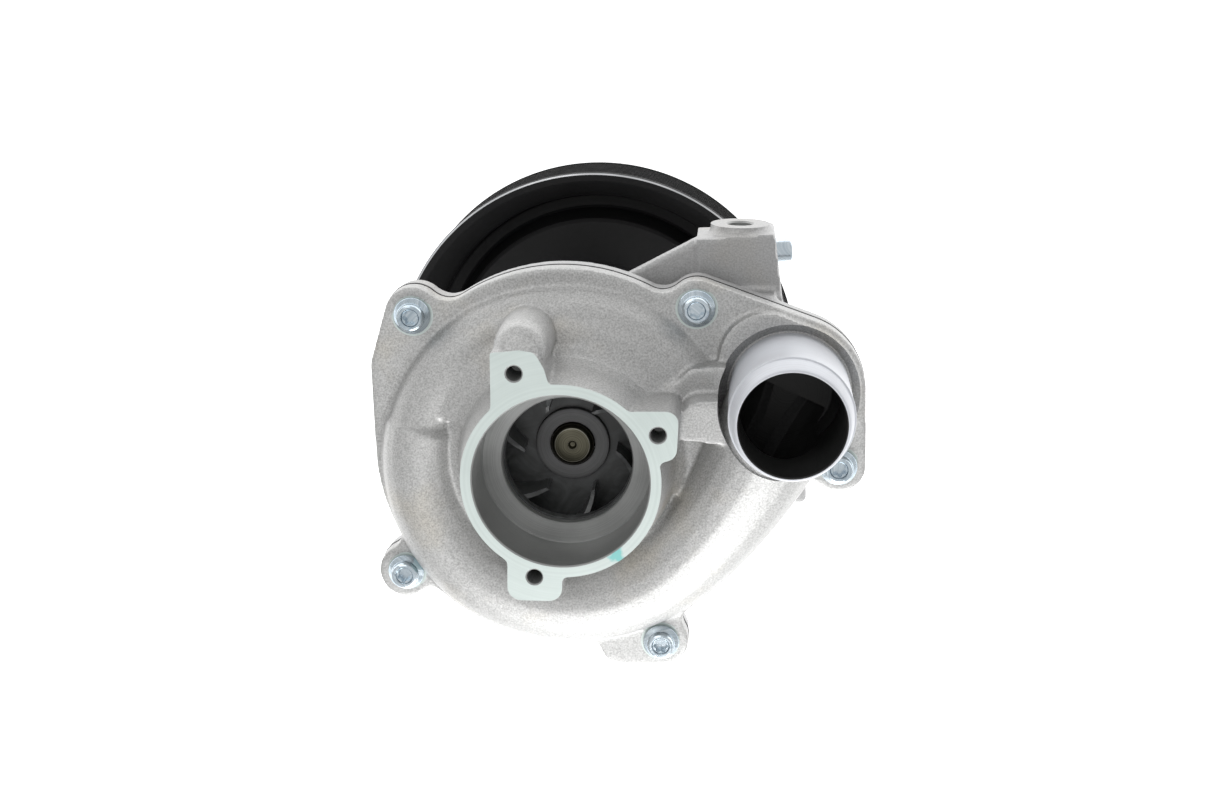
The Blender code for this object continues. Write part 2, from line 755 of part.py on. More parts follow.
def make_impeller():
    """Back plate with its swept blades, which stop just under the shroud."""
    back_top = IMPELLER_BACK_Z + IMPELLER_BACK_T
    impeller = ring("impeller", IMPELLER_HUB_R + GAP, IMPELLER_R, IMPELLER_BACK_Z, back_top, 36)
    for index in range(BLADE_COUNT):
        count = 7
        inner, outer = [], []
        for i in range(count + 1):
            part = i / count
            radius = (17 + 28.5 * part) * MM
            angle = math.radians(-62) * part
            half = BLADE_T / 2 / radius
            inner.append((radius * math.cos(angle - half), radius * math.sin(angle - half)))
            outer.append((radius * math.cos(angle + half), radius * math.sin(angle + half)))
        blade = prism("blade", inner + outer[::-1], IMPELLER_BACK_Z + MM, 153 * MM)
        trim = turned(
            "trim",
            [(0, 146 * MM), (19 * MM, 148 * MM)]
            + [(r * MM, shroud_height(r * MM) - GAP) for r in SHROUD_RADII]
            + [(60 * MM, 142.5 * MM), (60 * MM, 160 * MM), (0, 160 * MM)],
            48,
        )
        cut(blade, trim)
        blade.data.transform(Matrix.Rotation(2 * math.pi * index / BLADE_COUNT, 4, "Z"))
        join(impeller, blade)
    return impeller


def make_impeller_shroud():
    """Front shroud over the blades, with the lip that runs in the cover's eye."""
    under = [(r * MM, shroud_height(r * MM)) for r in SHROUD_RADII]
    over = [(r * MM, shroud_height(r * MM) + 2.0 * MM) for r in reversed(SHROUD_RADII)]
    lip = [(25.2 * MM, 154.8 * MM), (23.4 * MM, 154.8 * MM), (23.4 * MM, 151.0 * MM)]
    return turned("impeller_shroud", under + over[:-1] + lip, 40)


def make_impeller_hub():
    inner = SHAFT_R + 0.25 * MM
    return turned(
        "impeller_hub",
        [
            (inner, 131.6 * MM),
            (11.5 * MM, 131.6 * MM),
            (11.5 * MM, 133.4 * MM),
            (IMPELLER_HUB_R, 133.4 * MM),
            (IMPELLER_HUB_R, HUB_FACE_Z - 0.6 * MM),
            (IMPELLER_HUB_R - 0.6 * MM, HUB_FACE_Z),
            (10.2 * MM, HUB_FACE_Z),
            (9.9 * MM, HUB_FACE_Z - 0.8 * MM),
            (inner, HUB_FACE_Z - 0.8 * MM),
        ],
        24,
    )


def make_pulley():
    """Deep dish: a ribbed rim, a conical lip and a stepped web that bolts to the pulley's hub."""
    edge = (PULLEY_W - GROOVE_COUNT * GROOVE_PITCH) / 2
    profile = [
        (10.5 * MM, PULLEY_WEB_Z[0]),
        (40 * MM, PULLEY_WEB_Z[0]),
        (45 * MM, 15 * MM),
        (62 * MM, 15 * MM),
        (66 * MM, 2.5 * MM),
        (77 * MM, 2.5 * MM),
        (80 * MM, 0),
        (PULLEY_R - 0.6 * MM, 0),
        (PULLEY_R, 0.6 * MM),
        (PULLEY_R, edge),
    ]
    for index in range(GROOVE_COUNT):
        foot = edge + index * GROOVE_PITCH
        profile += [(PULLEY_R - GROOVE_DEPTH, foot + GROOVE_PITCH / 2), (PULLEY_R, foot + GROOVE_PITCH)]
    profile += [
        (PULLEY_R, PULLEY_W - 0.6 * MM),
        (PULLEY_R - 0.6 * MM, PULLEY_W),
        (PULLEY_R - 3.2 * MM, PULLEY_W),
        (75.4 * MM, 19 * MM),
        (74.4 * MM, 7.5 * MM),
        (69 * MM, 7.5 * MM),
        (64.8 * MM, PULLEY_WEB_Z[1] + 4 * MM),
        (46 * MM, PULLEY_WEB_Z[1] + 4 * MM),
        (42 * MM, PULLEY_WEB_Z[1]),
        (10.5 * MM, PULLEY_WEB_Z[1]),
    ]
    pulley = turned("pulley", profile, 48)
    for index in range(PULLEY_BOLT_COUNT):
        angle = 2 * math.pi * (index + 0.5) / PULLEY_BOLT_COUNT
        x, y = PULLEY_HOLE_PITCH_R * math.cos(angle), PULLEY_HOLE_PITCH_R * math.sin(angle)
        cut(pulley, rod("bolt_hole", 3.4 * MM, 0.005, 0.02, x, y, 14))
    return pulley


def make_pulley_hub():
    """Flanged steel hub pressed on the shaft, behind the pulley's web."""
    low = PULLEY_WEB_Z[1] + GAP
    inner = SHAFT_R + 0.25 * MM
    hub = turned(
        "pulley_hub",
        [
            (inner, PULLEY_WEB_Z[0] - 3 * MM),
            (10.2 * MM, PULLEY_WEB_Z[0] - 3 * MM),
            (10.2 * MM, low),
            (PULLEY_HUB_R, low),
            (PULLEY_HUB_R, low + 5 * MM),
            (14 * MM, low + 5 * MM),
            (13 * MM, low + 16 * MM),
            (inner, low + 16 * MM),
        ],
        24,
    )
    for index in range(PULLEY_BOLT_COUNT):
        angle = 2 * math.pi * (index + 0.5) / PULLEY_BOLT_COUNT
        x, y = PULLEY_HOLE_PITCH_R * math.cos(angle), PULLEY_HOLE_PITCH_R * math.sin(angle)
        cut(hub, rod("bolt_hole", 3.3 * MM, 0.012, 0.03, x, y, 14))
    return hub


def make_pulley_bolt(index):
    top = PULLEY_WEB_Z[0] - GAP
    bolt = turned(
        f"pulley_bolt_{index + 1}",
        [
            (0, top - 5.0 * MM),
            (5.0 * MM, top - 5.0 * MM),
            (5.0 * MM, top - 1.2 * MM),
            (6.5 * MM, top - 1.2 * MM),
            (6.5 * MM, top),
            (2.9 * MM, top),
            (2.9 * MM, top + 13 * MM),
            (0, top + 13 * MM),
        ],
        12,
    )
    angle = 2 * math.pi * (index + 0.5) / PULLEY_BOLT_COUNT
    bolt.location = (PULLEY_HOLE_PITCH_R * math.cos(angle), PULLEY_HOLE_PITCH_R * math.sin(angle), 0)
    return bolt


def build():
    clear_scene()
    pump = empty("pump")
    rotor = empty("rotor", pump)
    balls = empty("ball_train", pump)
    rollers = empty("roller_train", pump)

    cast = finish("cast_aluminium", (0.62, 0.61, 0.59), 0.5, 0.85)
    zinc = finish("zinc_plated_steel", (0.68, 0.73, 0.78), 0.28, 1.0)
    gasket = finish("gasket_black", (0.02, 0.02, 0.02), 0.7, 0.0)
    steel = finish("bearing_steel", (0.55, 0.55, 0.56), 0.2, 1.0)
    shaft_steel = finish("shaft_steel", (0.28, 0.27, 0.22), 0.35, 1.0)
    brass = finish("cage_polymer", (0.30, 0.22, 0.10), 0.5, 0.0)
    rubber = finish("seal_rubber", (0.03, 0.03, 0.03), 0.6, 0.0)
    carbon = finish("seal_carbon", (0.05, 0.05, 0.055), 0.35, 0.0)
    ceramic = finish("seal_ceramic", (0.75, 0.72, 0.66), 0.25, 0.0)
    plastic = finish("impeller_plastic", (0.03, 0.035, 0.035), 0.4, 0.0)
    sintered = finish("hub_steel", (0.22, 0.22, 0.22), 0.5, 0.9)
    black = finish("pulley_black", (0.02, 0.02, 0.021), 0.45, 0.0)

    dress(make_cover(), cast, pump)
    dress(make_gasket(), gasket, pump)
    dress(make_housing(), cast, pump)
    for index, (x, y, _) in enumerate(LUGS):
        dress(make_screw(f"cover_screw_{index + 1}", x, y), zinc, pump)
    for index, (x, y) in enumerate(DOWELS):
        dowel = rod(
            f"locating_dowel_{index + 1}", DOWEL_R, HOUSING_Z - 4.5 * MM, COVER_Z + 4 * MM, x, y, 16
        )
        dress(dowel, steel, pump)
    dress(make_pin(), zinc, pump)
    dress(make_sleeve(), steel, pump)
    dress(ring("bearing_seal_front", 8.4 * MM, 12.7 * MM, 108.6 * MM, 110.6 * MM), rubber, pump)
    dress(ring("bearing_seal_rear", 8.4 * MM, 12.7 * MM, 51.4 * MM, 53.4 * MM), rubber, pump)
    dress(make_seal_cup(), steel, pump)
    dress(make_seal_bellows(), rubber, pump)
    dress(make_seal_spring(), steel, pump)
    dress(ring("seal_face", 9.0 * MM, 12.0 * MM, 125.0 * MM, 127.6 * MM), carbon, pump)
    plug = rod("weep_plug", 2.0 * MM, -31 * MM, -22 * MM, 0, 114.8 * MM, 12, "Y")
    dress(plug, plastic, pump)

    dress(make_shaft(), shaft_steel, rotor)
    dress(ring("slinger", 8.25 * MM, 14.5 * MM, 113.6 * MM, 114.8 * MM), steel, rotor)
    dress(ring("seal_mating_ring", 8.25 * MM, 12.5 * MM, 128.0 * MM, 131.2 * MM), ceramic, rotor)
    dress(make_impeller_hub(), sintered, rotor)
    dress(make_impeller(), plastic, rotor)
    dress(make_impeller_shroud(), plastic, rotor)
    dress(make_pulley_hub(), steel, rotor)
    dress(make_pulley(), black, rotor)
    for index in range(PULLEY_BOLT_COUNT):
        dress(make_pulley_bolt(index), zinc, rotor)

    for index in range(BALL_COUNT):
        dress(make_ball(index), steel, balls)
    dress(make_ball_cage(), brass, balls)
    for index in range(ROLLER_COUNT):
        dress(make_roller(index), steel, rollers)
    dress(make_roller_cage(), brass, rollers)


build()
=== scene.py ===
"""Coolant pump standing on its pulley: the looks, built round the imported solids."""

import math

import bpy
from mathutils import Matrix, Vector


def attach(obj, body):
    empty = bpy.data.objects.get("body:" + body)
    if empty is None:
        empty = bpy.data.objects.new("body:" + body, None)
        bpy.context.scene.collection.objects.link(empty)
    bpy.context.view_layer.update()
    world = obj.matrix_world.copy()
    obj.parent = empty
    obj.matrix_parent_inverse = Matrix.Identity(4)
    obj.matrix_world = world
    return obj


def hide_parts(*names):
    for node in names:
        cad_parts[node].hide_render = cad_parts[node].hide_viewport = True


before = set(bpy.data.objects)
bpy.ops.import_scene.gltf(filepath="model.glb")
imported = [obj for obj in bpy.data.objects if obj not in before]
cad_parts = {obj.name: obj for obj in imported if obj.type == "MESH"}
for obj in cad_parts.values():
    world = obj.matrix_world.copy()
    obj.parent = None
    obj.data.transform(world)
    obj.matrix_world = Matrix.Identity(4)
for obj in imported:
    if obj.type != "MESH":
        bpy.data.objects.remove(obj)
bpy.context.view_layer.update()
bpy.ops.object.select_all(action="DESELECT")


# ---------------------------------------------------------------- studio
# A white floor that glows like a light table, a broad key light over the pump's lower side, a weaker
# one above, and a pale surround.  The pump stands on its pulley, and the camera looks into the inlet.

MM = 0.001

bpy.ops.mesh.primitive_plane_add(size=6, location=(0, 0, -0.0005))
floor = bpy.context.active_object
floor.name = "studio_floor"
paper = bpy.data.materials.new("pale_paper")
paper.use_nodes = True
paper_shader = paper.node_tree.nodes["Principled BSDF"]
paper_shader.inputs["Roughness"].default_value = 0.9
paper_shader.inputs["Emission Color"].default_value = (1, 1, 1, 1)
paper_shader.inputs["Emission Strength"].default_value = 1.0
paper_noise = paper.node_tree.nodes.new("ShaderNodeTexNoise")
paper_noise.inputs["Scale"].default_value = 3
paper_ramp = paper.node_tree.nodes.new("ShaderNodeValToRGB")
paper_ramp.color_ramp.elements[0].color = (0.90, 0.90, 0.90, 1)
paper_ramp.color_ramp.elements[1].color = (0.94, 0.94, 0.94, 1)
paper.node_tree.links.new(paper_noise.outputs["Fac"], paper_ramp.inputs["Fac"])
paper.node_tree.links.new(paper_ramp.outputs["Color"], paper_shader.inputs["Base Color"])
floor.data.materials.append(paper)

surround = bpy.data.worlds.new("surround")
surround.use_nodes = True
surround.node_tree.nodes["Background"].inputs["Color"].default_value = (1.0, 1.0, 1.0, 1)
surround.node_tree.nodes["Background"].inputs["Strength"].default_value = 0.72
bpy.context.scene.world = surround
bpy.context.scene.view_settings.view_transform = "Standard"


def softbox(name, place, aim, size, power):
    bpy.ops.object.light_add(type="AREA", location=place)
    light = bpy.context.active_object
    light.name = name
    light.data.size = size
    light.data.energy = power
    light.rotation_euler = (Vector(aim) - Vector(place)).to_track_quat("-Z", "Y").to_euler()


softbox("key_light", (0.06, -0.46, 0.42), (0.0, -0.03, 0.15), 0.45, 3.2)
softbox("top_light", (-0.30, 0.45, 0.8), (0.0, 0.0, 0.15), 0.5, 1.1)

CAMERA_PLACE = Vector((0.0586, 0.1866, 0.7399))
CAMERA_AIM = Vector((0.0138, 0.0190, 0.1500))
bpy.ops.object.camera_add(location=CAMERA_PLACE)
camera = bpy.context.active_object
camera.data.lens = 50
camera.data.sensor_width = 36
ahead = (CAMERA_AIM - CAMERA_PLACE).normalized()
right = ahead.cross(Vector((0, 1, 0))).normalized()
turned_axes = Matrix((right, right.cross(ahead), -ahead)).transposed()
camera.rotation_euler = turned_axes.to_euler()
bpy.context.scene.camera = camera
bpy.ops.object.select_all(action="DESELECT")


# ---------------------------------------------------------------- shaft
# Ground steel shaft, chamfered at both ends and centre drilled for grinding.  Its upper end shows
# inside the impeller's hub, oiled and olive-grey, with faint turning rings.



def open_mesh(piece):
    """Enter edit mode on one piece with everything selected."""
    bpy.ops.object.select_all(action="DESELECT")
    bpy.context.view_layer.objects.active = piece
    piece.select_set(True)
    bpy.ops.object.mode_set(mode="EDIT")
    bpy.ops.mesh.select_mode(type="VERT")
    bpy.ops.mesh.select_all(action="SELECT")


def close_mesh(piece, smooth_angle=32):
    """Merge doubles, face outwards, leave edit mode, and settle the piece's place in its mesh."""
    bpy.ops.mesh.select_all(action="SELECT")
    bpy.ops.mesh.remove_doubles(threshold=1e-6)
    bpy.ops.mesh.normals_make_consistent(inside=False)
    bpy.ops.object.mode_set(mode="OBJECT")
    bpy.ops.object.transform_apply(location=True, rotation=True, scale=True)
    bpy.ops.object.shade_smooth_by_angle(angle=math.radians(smooth_angle))
    piece.select_set(False)


def turn_on_lathe(name, profile, segments=128, centre=(0, 0)):
    """A solid of revolution about a line parallel to Z, from (radius, height) points in mm.  The
    ring is drawn out from point to point.  A profile that ends where it began is a hollow ring."""
    start_r, start_z = profile[0]
    tiny = 1e-4
    bpy.ops.mesh.primitive_circle_add(
        vertices=segments,
        radius=max(start_r, tiny) * MM,
        fill_type="NOTHING",
        location=(centre[0] * MM, centre[1] * MM, start_z * MM),
    )
    piece = bpy.context.active_object
    piece.name = piece.data.name = name
    open_mesh(piece)
    radius, height = max(start_r, tiny), start_z
    for next_r, next_z in profile[1:]:
        next_r = max(next_r, tiny)
        bpy.ops.mesh.extrude_region_move(TRANSFORM_OT_translate={"value": (0, 0, (next_z - height) * MM)})
        grow = next_r / radius
        middle = (centre[0] * MM, centre[1] * MM, next_z * MM)
        bpy.ops.transform.resize(value=(grow, grow, 1), center_override=middle)
        radius, height = next_r, next_z
    bpy.ops.mesh.select_all(action="SELECT")
    bpy.ops.mesh.remove_doubles(threshold=2.5e-7)
    close_mesh(piece)
    return piece


def apply_modifiers(piece):
    bpy.ops.object.select_all(action="DESELECT")
    bpy.context.view_layer.objects.active = piece
    piece.select_set(True)
    for modifier in list(piece.modifiers):
        bpy.ops.object.modifier_apply(modifier=modifier.name)
    piece.select_set(False)


def new_material(name, colour, roughness, metallic):
    """A Principled material, with its Object coordinates ready for the patterns."""
    material = bpy.data.materials.new(name)
    material.use_nodes = True
    tree = material.node_tree
    shader = tree.nodes["Principled BSDF"]
    shader.inputs["Base Color"].default_value = (*colour, 1)
    shader.inputs["Roughness"].default_value = roughness
    shader.inputs["Metallic"].default_value = metallic
    place = tree.nodes.new("ShaderNodeTexCoord")
    return material, tree, shader, place.outputs["Object"]


def group_with(name, inputs, outputs):
    """A shader node group with named inputs (name, kind, default) and outputs (name, kind)."""
    tree = bpy.data.node_groups.new(name, "ShaderNodeTree")
    for label, kind, default in inputs:
        socket = tree.interface.new_socket(name=label, in_out="INPUT", socket_type=kind)
        if default is not None:
            socket.default_value = default
    for label, kind in outputs:
        tree.interface.new_socket(name=label, in_out="OUTPUT", socket_type=kind)
    return tree, tree.nodes.new("NodeGroupInput"), tree.nodes.new("NodeGroupOutput")


def turning_marks_group():
    """Fine rings round a line parallel to Z, as a lathe or a face mill leaves them: a normal, and a
    mask that varies the colour and the roughness from ring to ring."""
    tree, given, out = group_with(
        "turning_marks",
        (
            ("Place", "NodeSocketVector", None),
            ("Centre", "NodeSocketVector", (0, 0, 0)),
            ("Rings per mm", "NodeSocketFloat", 4.0),
            ("Depth", "NodeSocketFloat", 0.15),
        ),
        (("Mask", "NodeSocketFloat"), ("Normal", "NodeSocketVector")),
    )
    link = tree.links.new
    offset = tree.nodes.new("ShaderNodeVectorMath")
    offset.operation = "SUBTRACT"
    flat = tree.nodes.new("ShaderNodeVectorMath")
    flat.operation = "MULTIPLY"
    flat.inputs[1].default_value = (1, 1, 0)
    reach = tree.nodes.new("ShaderNodeVectorMath")
    reach.operation = "LENGTH"
    height = tree.nodes.new("ShaderNodeSeparateXYZ")
    both = tree.nodes.new("ShaderNodeMath")
    both.operation = "ADD"
    scaled = tree.nodes.new("ShaderNodeMath")
    scaled.operation = "MULTIPLY"
    per_metre = tree.nodes.new("ShaderNodeMath")
    per_metre.operation = "MULTIPLY"
    per_metre.inputs[1].default_value = 1000
    rings = tree.nodes.new("ShaderNodeTexNoise")
    rings.noise_dimensions = "1D"
    rings.inputs["Scale"].default_value = 1.0
    rings.inputs["Detail"].default_value = 3
    bump = tree.nodes.new("ShaderNodeBump")
    bump.inputs["Distance"].default_value = 0.05 * MM
    link(given.outputs["Place"], offset.inputs[0])
    link(given.outputs["Centre"], offset.inputs[1])
    link(offset.outputs[0], flat.inputs[0])
    link(flat.outputs[0], reach.inputs[0])
    link(offset.outputs[0], height.inputs[0])
    link(reach.outputs["Value"], both.inputs[0])
    link(height.outputs["Z"], both.inputs[1])
    link(given.outputs["Rings per mm"], per_metre.inputs[0])
    link(both.outputs[0], scaled.inputs[0])
    link(per_metre.outputs[0], scaled.inputs[1])
    link(scaled.outputs[0], rings.inputs["W"])
    link(rings.outputs["Fac"], bump.inputs["Height"])
    link(given.outputs["Depth"], bump.inputs["Strength"])
    link(rings.outputs["Fac"], out.inputs["Mask"])
    link(bump.outputs["Normal"], out.inputs["Normal"])
    return tree


TURNING_MARKS = turning_marks_group()


def turned_metal(name, dark, light, roughness, metallic, centre=(0, 0), rings=4.0, depth=0.15):
    """A machined metal with turning marks, running between two colours."""
    material, tree, shader, place = new_material(name, light, roughness, metallic)
    marks = tree.nodes.new("ShaderNodeGroup")
    marks.node_tree = TURNING_MARKS
    marks.inputs["Centre"].default_value = (centre[0] * MM, centre[1] * MM, 0)
    marks.inputs["Rings per mm"].default_value = rings
    marks.inputs["Depth"].default_value = depth
    tree.links.new(place, marks.inputs["Place"])
    patches = tree.nodes.new("ShaderNodeTexNoise")
    patches.inputs["Scale"].default_value = 60
    patches.inputs["Detail"].default_value = 4
    tree.links.new(place, patches.inputs["Vector"])
    blend = tree.nodes.new("ShaderNodeMath")
    blend.operation = "MULTIPLY_ADD"
    blend.inputs[1].default_value = 0.5
    half = tree.nodes.new("ShaderNodeMath")
    half.operation = "MULTIPLY"
    half.inputs[1].default_value = 0.5
    tree.links.new(patches.outputs["Fac"], half.inputs[0])
    tree.links.new(marks.outputs["Mask"], blend.inputs[0])
    tree.links.new(half.outputs[0], blend.inputs[2])
    ramp = tree.nodes.new("ShaderNodeValToRGB")
    ramp.color_ramp.elements[0].position = 0.35
    ramp.color_ramp.elements[0].color = (*dark, 1)
    ramp.color_ramp.elements[1].position = 0.65
    ramp.color_ramp.elements[1].color = (*light, 1)
    tree.links.new(blend.outputs[0], ramp.inputs["Fac"])
    tree.links.new(ramp.outputs["Color"], shader.inputs["Base Color"])
    rough = tree.nodes.new("ShaderNodeMapRange")
    rough.inputs["To Min"].default_value = roughness * 0.8
    rough.inputs["To Max"].default_value = roughness * 1.25
    tree.links.new(blend.outputs[0], rough.inputs["Value"])
    tree.links.new(rough.outputs["Result"], shader.inputs["Roughness"])
    tree.links.new(marks.outputs["Normal"], shader.inputs["Normal"])
    return material


shaft_finish = turned_metal(
    "oiled_shaft_steel", (0.060, 0.056, 0.038), (0.150, 0.142, 0.105), 0.30, 1.0, rings=2.5, depth=0.3
)
shaft_piece = turn_on_lathe(
    "pump_shaft",
    [
        (0, 0.2),
        (1.2, 0.2),
        (1.9, 0),
        (6.6, 0),
        (7.2, 0.2),
        (7.96, 1.2),
        (7.96, 138.4),
        (7.7, 138.9),
        (6.65, 139.8),
        (6.3, 140.0),
        (1.9, 140.0),
        (1.55, 139.5),
        (0.9, 138.4),
        (0, 138.2),
    ],
    96,
)
shaft_piece.data.materials.append(shaft_finish)
# The upper end's chamfer and the centre drill's mouth get a lighter copy of the shaft steel, a painted
# highlight.
shaft_piece.data.materials.append(
    turned_metal("chamfer_painted_highlight", (0.34, 0.33, 0.26), (0.44, 0.43, 0.36), 0.35, 0.6, rings=1.5, depth=0.05)
)
for face in shaft_piece.data.polygons:
    out = math.hypot(face.center.x, face.center.y) / MM
    if face.center.z > 139 * MM and (6.2 < out < 6.7 or 1.5 < out < 1.95):
        face.material_index = 1
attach(shaft_piece, "rotor")
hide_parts("shaft")


# ---------------------------------------------------------------- impeller
# Dark moulded impeller: a back plate and a shroud with swept blades between them, moulded round a
# sintered steel hub that is pressed on the shaft.  Dull flow marks run over its face.

BLADES = 6
BLADE_SWEEP = 62
hub_finish = turned_metal(
    "sintered_hub_steel", (0.135, 0.135, 0.137), (0.20, 0.20, 0.202), 0.60, 0.35, rings=1.2, depth=0.08
)
hub_piece = turn_on_lathe(
    "impeller_hub_insert",
    [
        (8.35, 131.8),
        (11.5, 131.8),
        (11.5, 133.5),
        (13.8, 133.5),
        (13.8, 137.6),
        (13.6, 137.9),
        (13.3, 138.0),
        (9.0, 138.0),
        (8.5, 137.7),
        (8.35, 137.2),
        (8.35, 131.8),
    ],
    128,
)
hub_piece.data.materials.append(hub_finish)
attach(hub_piece, "rotor")
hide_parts("impeller_hub")

moulded, tree, shader, place = new_material("moulded_black", (0.02, 0.02, 0.02), 0.36, 0.0)
swirl = tree.nodes.new("ShaderNodeTexNoise")
swirl.inputs["Scale"].default_value = 55
swirl.inputs["Detail"].default_value = 6
swirl.inputs["Distortion"].default_value = 3.2
tree.links.new(place, swirl.inputs["Vector"])
tones = tree.nodes.new("ShaderNodeValToRGB")
tones.color_ramp.elements[0].position = 0.42
tones.color_ramp.elements[0].color = (0.055, 0.057, 0.057, 1)
tones.color_ramp.elements[1].position = 0.80
tones.color_ramp.elements[1].color = (0.120, 0.125, 0.127, 1)
tree.links.new(swirl.outputs["Fac"], tones.inputs["Fac"])
tree.links.new(tones.outputs["Color"], shader.inputs["Base Color"])
skin = tree.nodes.new("ShaderNodeTexNoise")
skin.inputs["Scale"].default_value = 1500
tree.links.new(place, skin.inputs["Vector"])
pores = tree.nodes.new("ShaderNodeBump")
pores.inputs["Strength"].default_value = 0.25
pores.inputs["Distance"].default_value = 0.05 * MM
tree.links.new(skin.outputs["Fac"], pores.inputs["Height"])
tree.links.new(pores.outputs["Normal"], shader.inputs["Normal"])


def cut_or_join(piece, tool, operation, solver="EXACT"):
    """A Boolean with another piece, which is used up."""
    work = piece.modifiers.new(operation.lower(), "BOOLEAN")
    work.operation = operation
    work.solver = solver
    work.material_mode = "TRANSFER"
    work.object = tool
    apply_modifiers(piece)
    bpy.data.objects.remove(tool)


def shroud_z(radius):
    """Height of the shroud's underside over the blades."""
    part = max(0.0, min(1.0, (radius - 24) / 22))
    return 150.5 - 7.5 * part**0.8


def pull_up(name, outline, low, high):
    """A flat outline of (x, y) points in mm, filled and extruded between two heights."""
    bpy.ops.mesh.primitive_circle_add(vertices=len(outline), radius=MM, fill_type="NGON", location=(0, 0, 0))
    piece = bpy.context.active_object
    piece.name = piece.data.name = name
    for vertex, (x, y) in zip(piece.data.vertices, outline):
        vertex.co = (x * MM, y * MM, low * MM)
    open_mesh(piece)
    bpy.ops.mesh.extrude_region_move(TRANSFORM_OT_translate={"value": (0, 0, (high - low) * MM)})
    close_mesh(piece)
    return piece


impeller_piece = turn_on_lathe(
    "impeller_moulding",
    [(14.0, 133.5), (45.4, 133.5), (46, 134.0), (46, 135.6), (45.5, 136.0), (14.0, 136.0), (14.0, 133.5)],
    128,
)
radii = [24, 26, 28, 31, 35, 40, 46]
shroud = turn_on_lathe(
    "shroud",
    [(r, shroud_z(r)) for r in radii]
    + [(r, shroud_z(r) + 2.0) for r in reversed(radii[1:])]
    + [(25.3, 153.6), (25.0, 154.6), (24.6, 154.9), (23.9, 154.9)]
    + [(23.5, 154.4), (23.5, 151.2), (24, 150.5)],
    128,
)
for index in range(BLADES):
    steps = 14
    front, back = [], []
    for i in range(steps + 1):
        part = i / steps
        reach = 17 + 28.4 * part
        angle = math.radians(360 * index / BLADES - BLADE_SWEEP * part)
        half = (0.7 + 0.6 * math.sin(math.pi * part)) / reach
        front.append((reach * math.cos(angle - half), reach * math.sin(angle - half)))
        back.append((reach * math.cos(angle + half), reach * math.sin(angle + half)))
    blade = pull_up("blade", front + back[::-1], 135, 153)
    above = turn_on_lathe(
        "above",
        [(0, 146), (19, 148), (24, 151.4)]
        + [(r, shroud_z(r) + 1) for r in radii[1:]]
        + [(60, 143), (60, 160), (0, 160)],
        48,
    )
    cut_or_join(blade, above, "DIFFERENCE")
    cut_or_join(impeller_piece, blade, "UNION")
cut_or_join(impeller_piece, shroud, "UNION")
impeller_piece.data.materials.clear()
impeller_piece.data.materials.append(moulded)
bpy.context.view_layer.objects.active = impeller_piece
impeller_piece.select_set(True)
bpy.ops.object.shade_smooth_by_angle(angle=math.radians(35))
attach(impeller_piece, "rotor")
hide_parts("impeller", "impeller_shroud")


# ---------------------------------------------------------------- pulley
# Deep steel dish, spun and coated satin black, with eight belt ribs.  A bright steel finish on the
# top lip's outer edge is a painted highlight.  Four bolts hold its web to a flanged hub on the shaft.

PULLEY_R = 87.2
PULLEY_W = 34.0
RIBS = 8
RIB_PITCH = 3.56
RIB_DEPTH = 2.6

satin, tree, shader, place = new_material("satin_black_coat", (0.016, 0.016, 0.017), 0.42, 0.0)
orange_peel = tree.nodes.new("ShaderNodeTexNoise")
orange_peel.inputs["Scale"].default_value = 650
orange_peel.inputs["Detail"].default_value = 2
tree.links.new(place, orange_peel.inputs["Vector"])
peel_bump = tree.nodes.new("ShaderNodeBump")
peel_bump.inputs["Strength"].default_value = 0.35
peel_bump.inputs["Distance"].default_value = 0.06 * MM
tree.links.new(orange_peel.outputs["Fac"], peel_bump.inputs["Height"])
tree.links.new(peel_bump.outputs["Normal"], shader.inputs["Normal"])
dust = tree.nodes.new("ShaderNodeTexNoise")
dust.inputs["Scale"].default_value = 22
dust.inputs["Detail"].default_value = 5
tree.links.new(place, dust.inputs["Vector"])
dusty = tree.nodes.new("ShaderNodeValToRGB")
dusty.color_ramp.elements[0].position = 0.40
dusty.color_ramp.elements[0].color = (0.003, 0.003, 0.0033, 1)
dusty.color_ramp.elements[1].position = 0.75
dusty.color_ramp.elements[1].color = (0.007, 0.007, 0.0073, 1)
tree.links.new(dust.outputs["Fac"], dusty.inputs["Fac"])
tree.links.new(dusty.outputs["Color"], shader.inputs["Base Color"])
matting = tree.nodes.new("ShaderNodeMapRange")
matting.inputs["To Min"].default_value = 0.48
matting.inputs["To Max"].default_value = 0.66
tree.links.new(dust.outputs["Fac"], matting.inputs["Value"])
tree.links.new(matting.outputs["Result"], shader.inputs["Roughness"])
shader.inputs["Specular IOR Level"].default_value = 0.25

# Pale steel for a painted highlight along the pulley's top lip edge.
lip_painted_highlight = turned_metal(
    "lip_highlight_steel", (0.50, 0.51, 0.52), (0.80, 0.81, 0.83), 0.25, 1.0, rings=6, depth=0.1
)

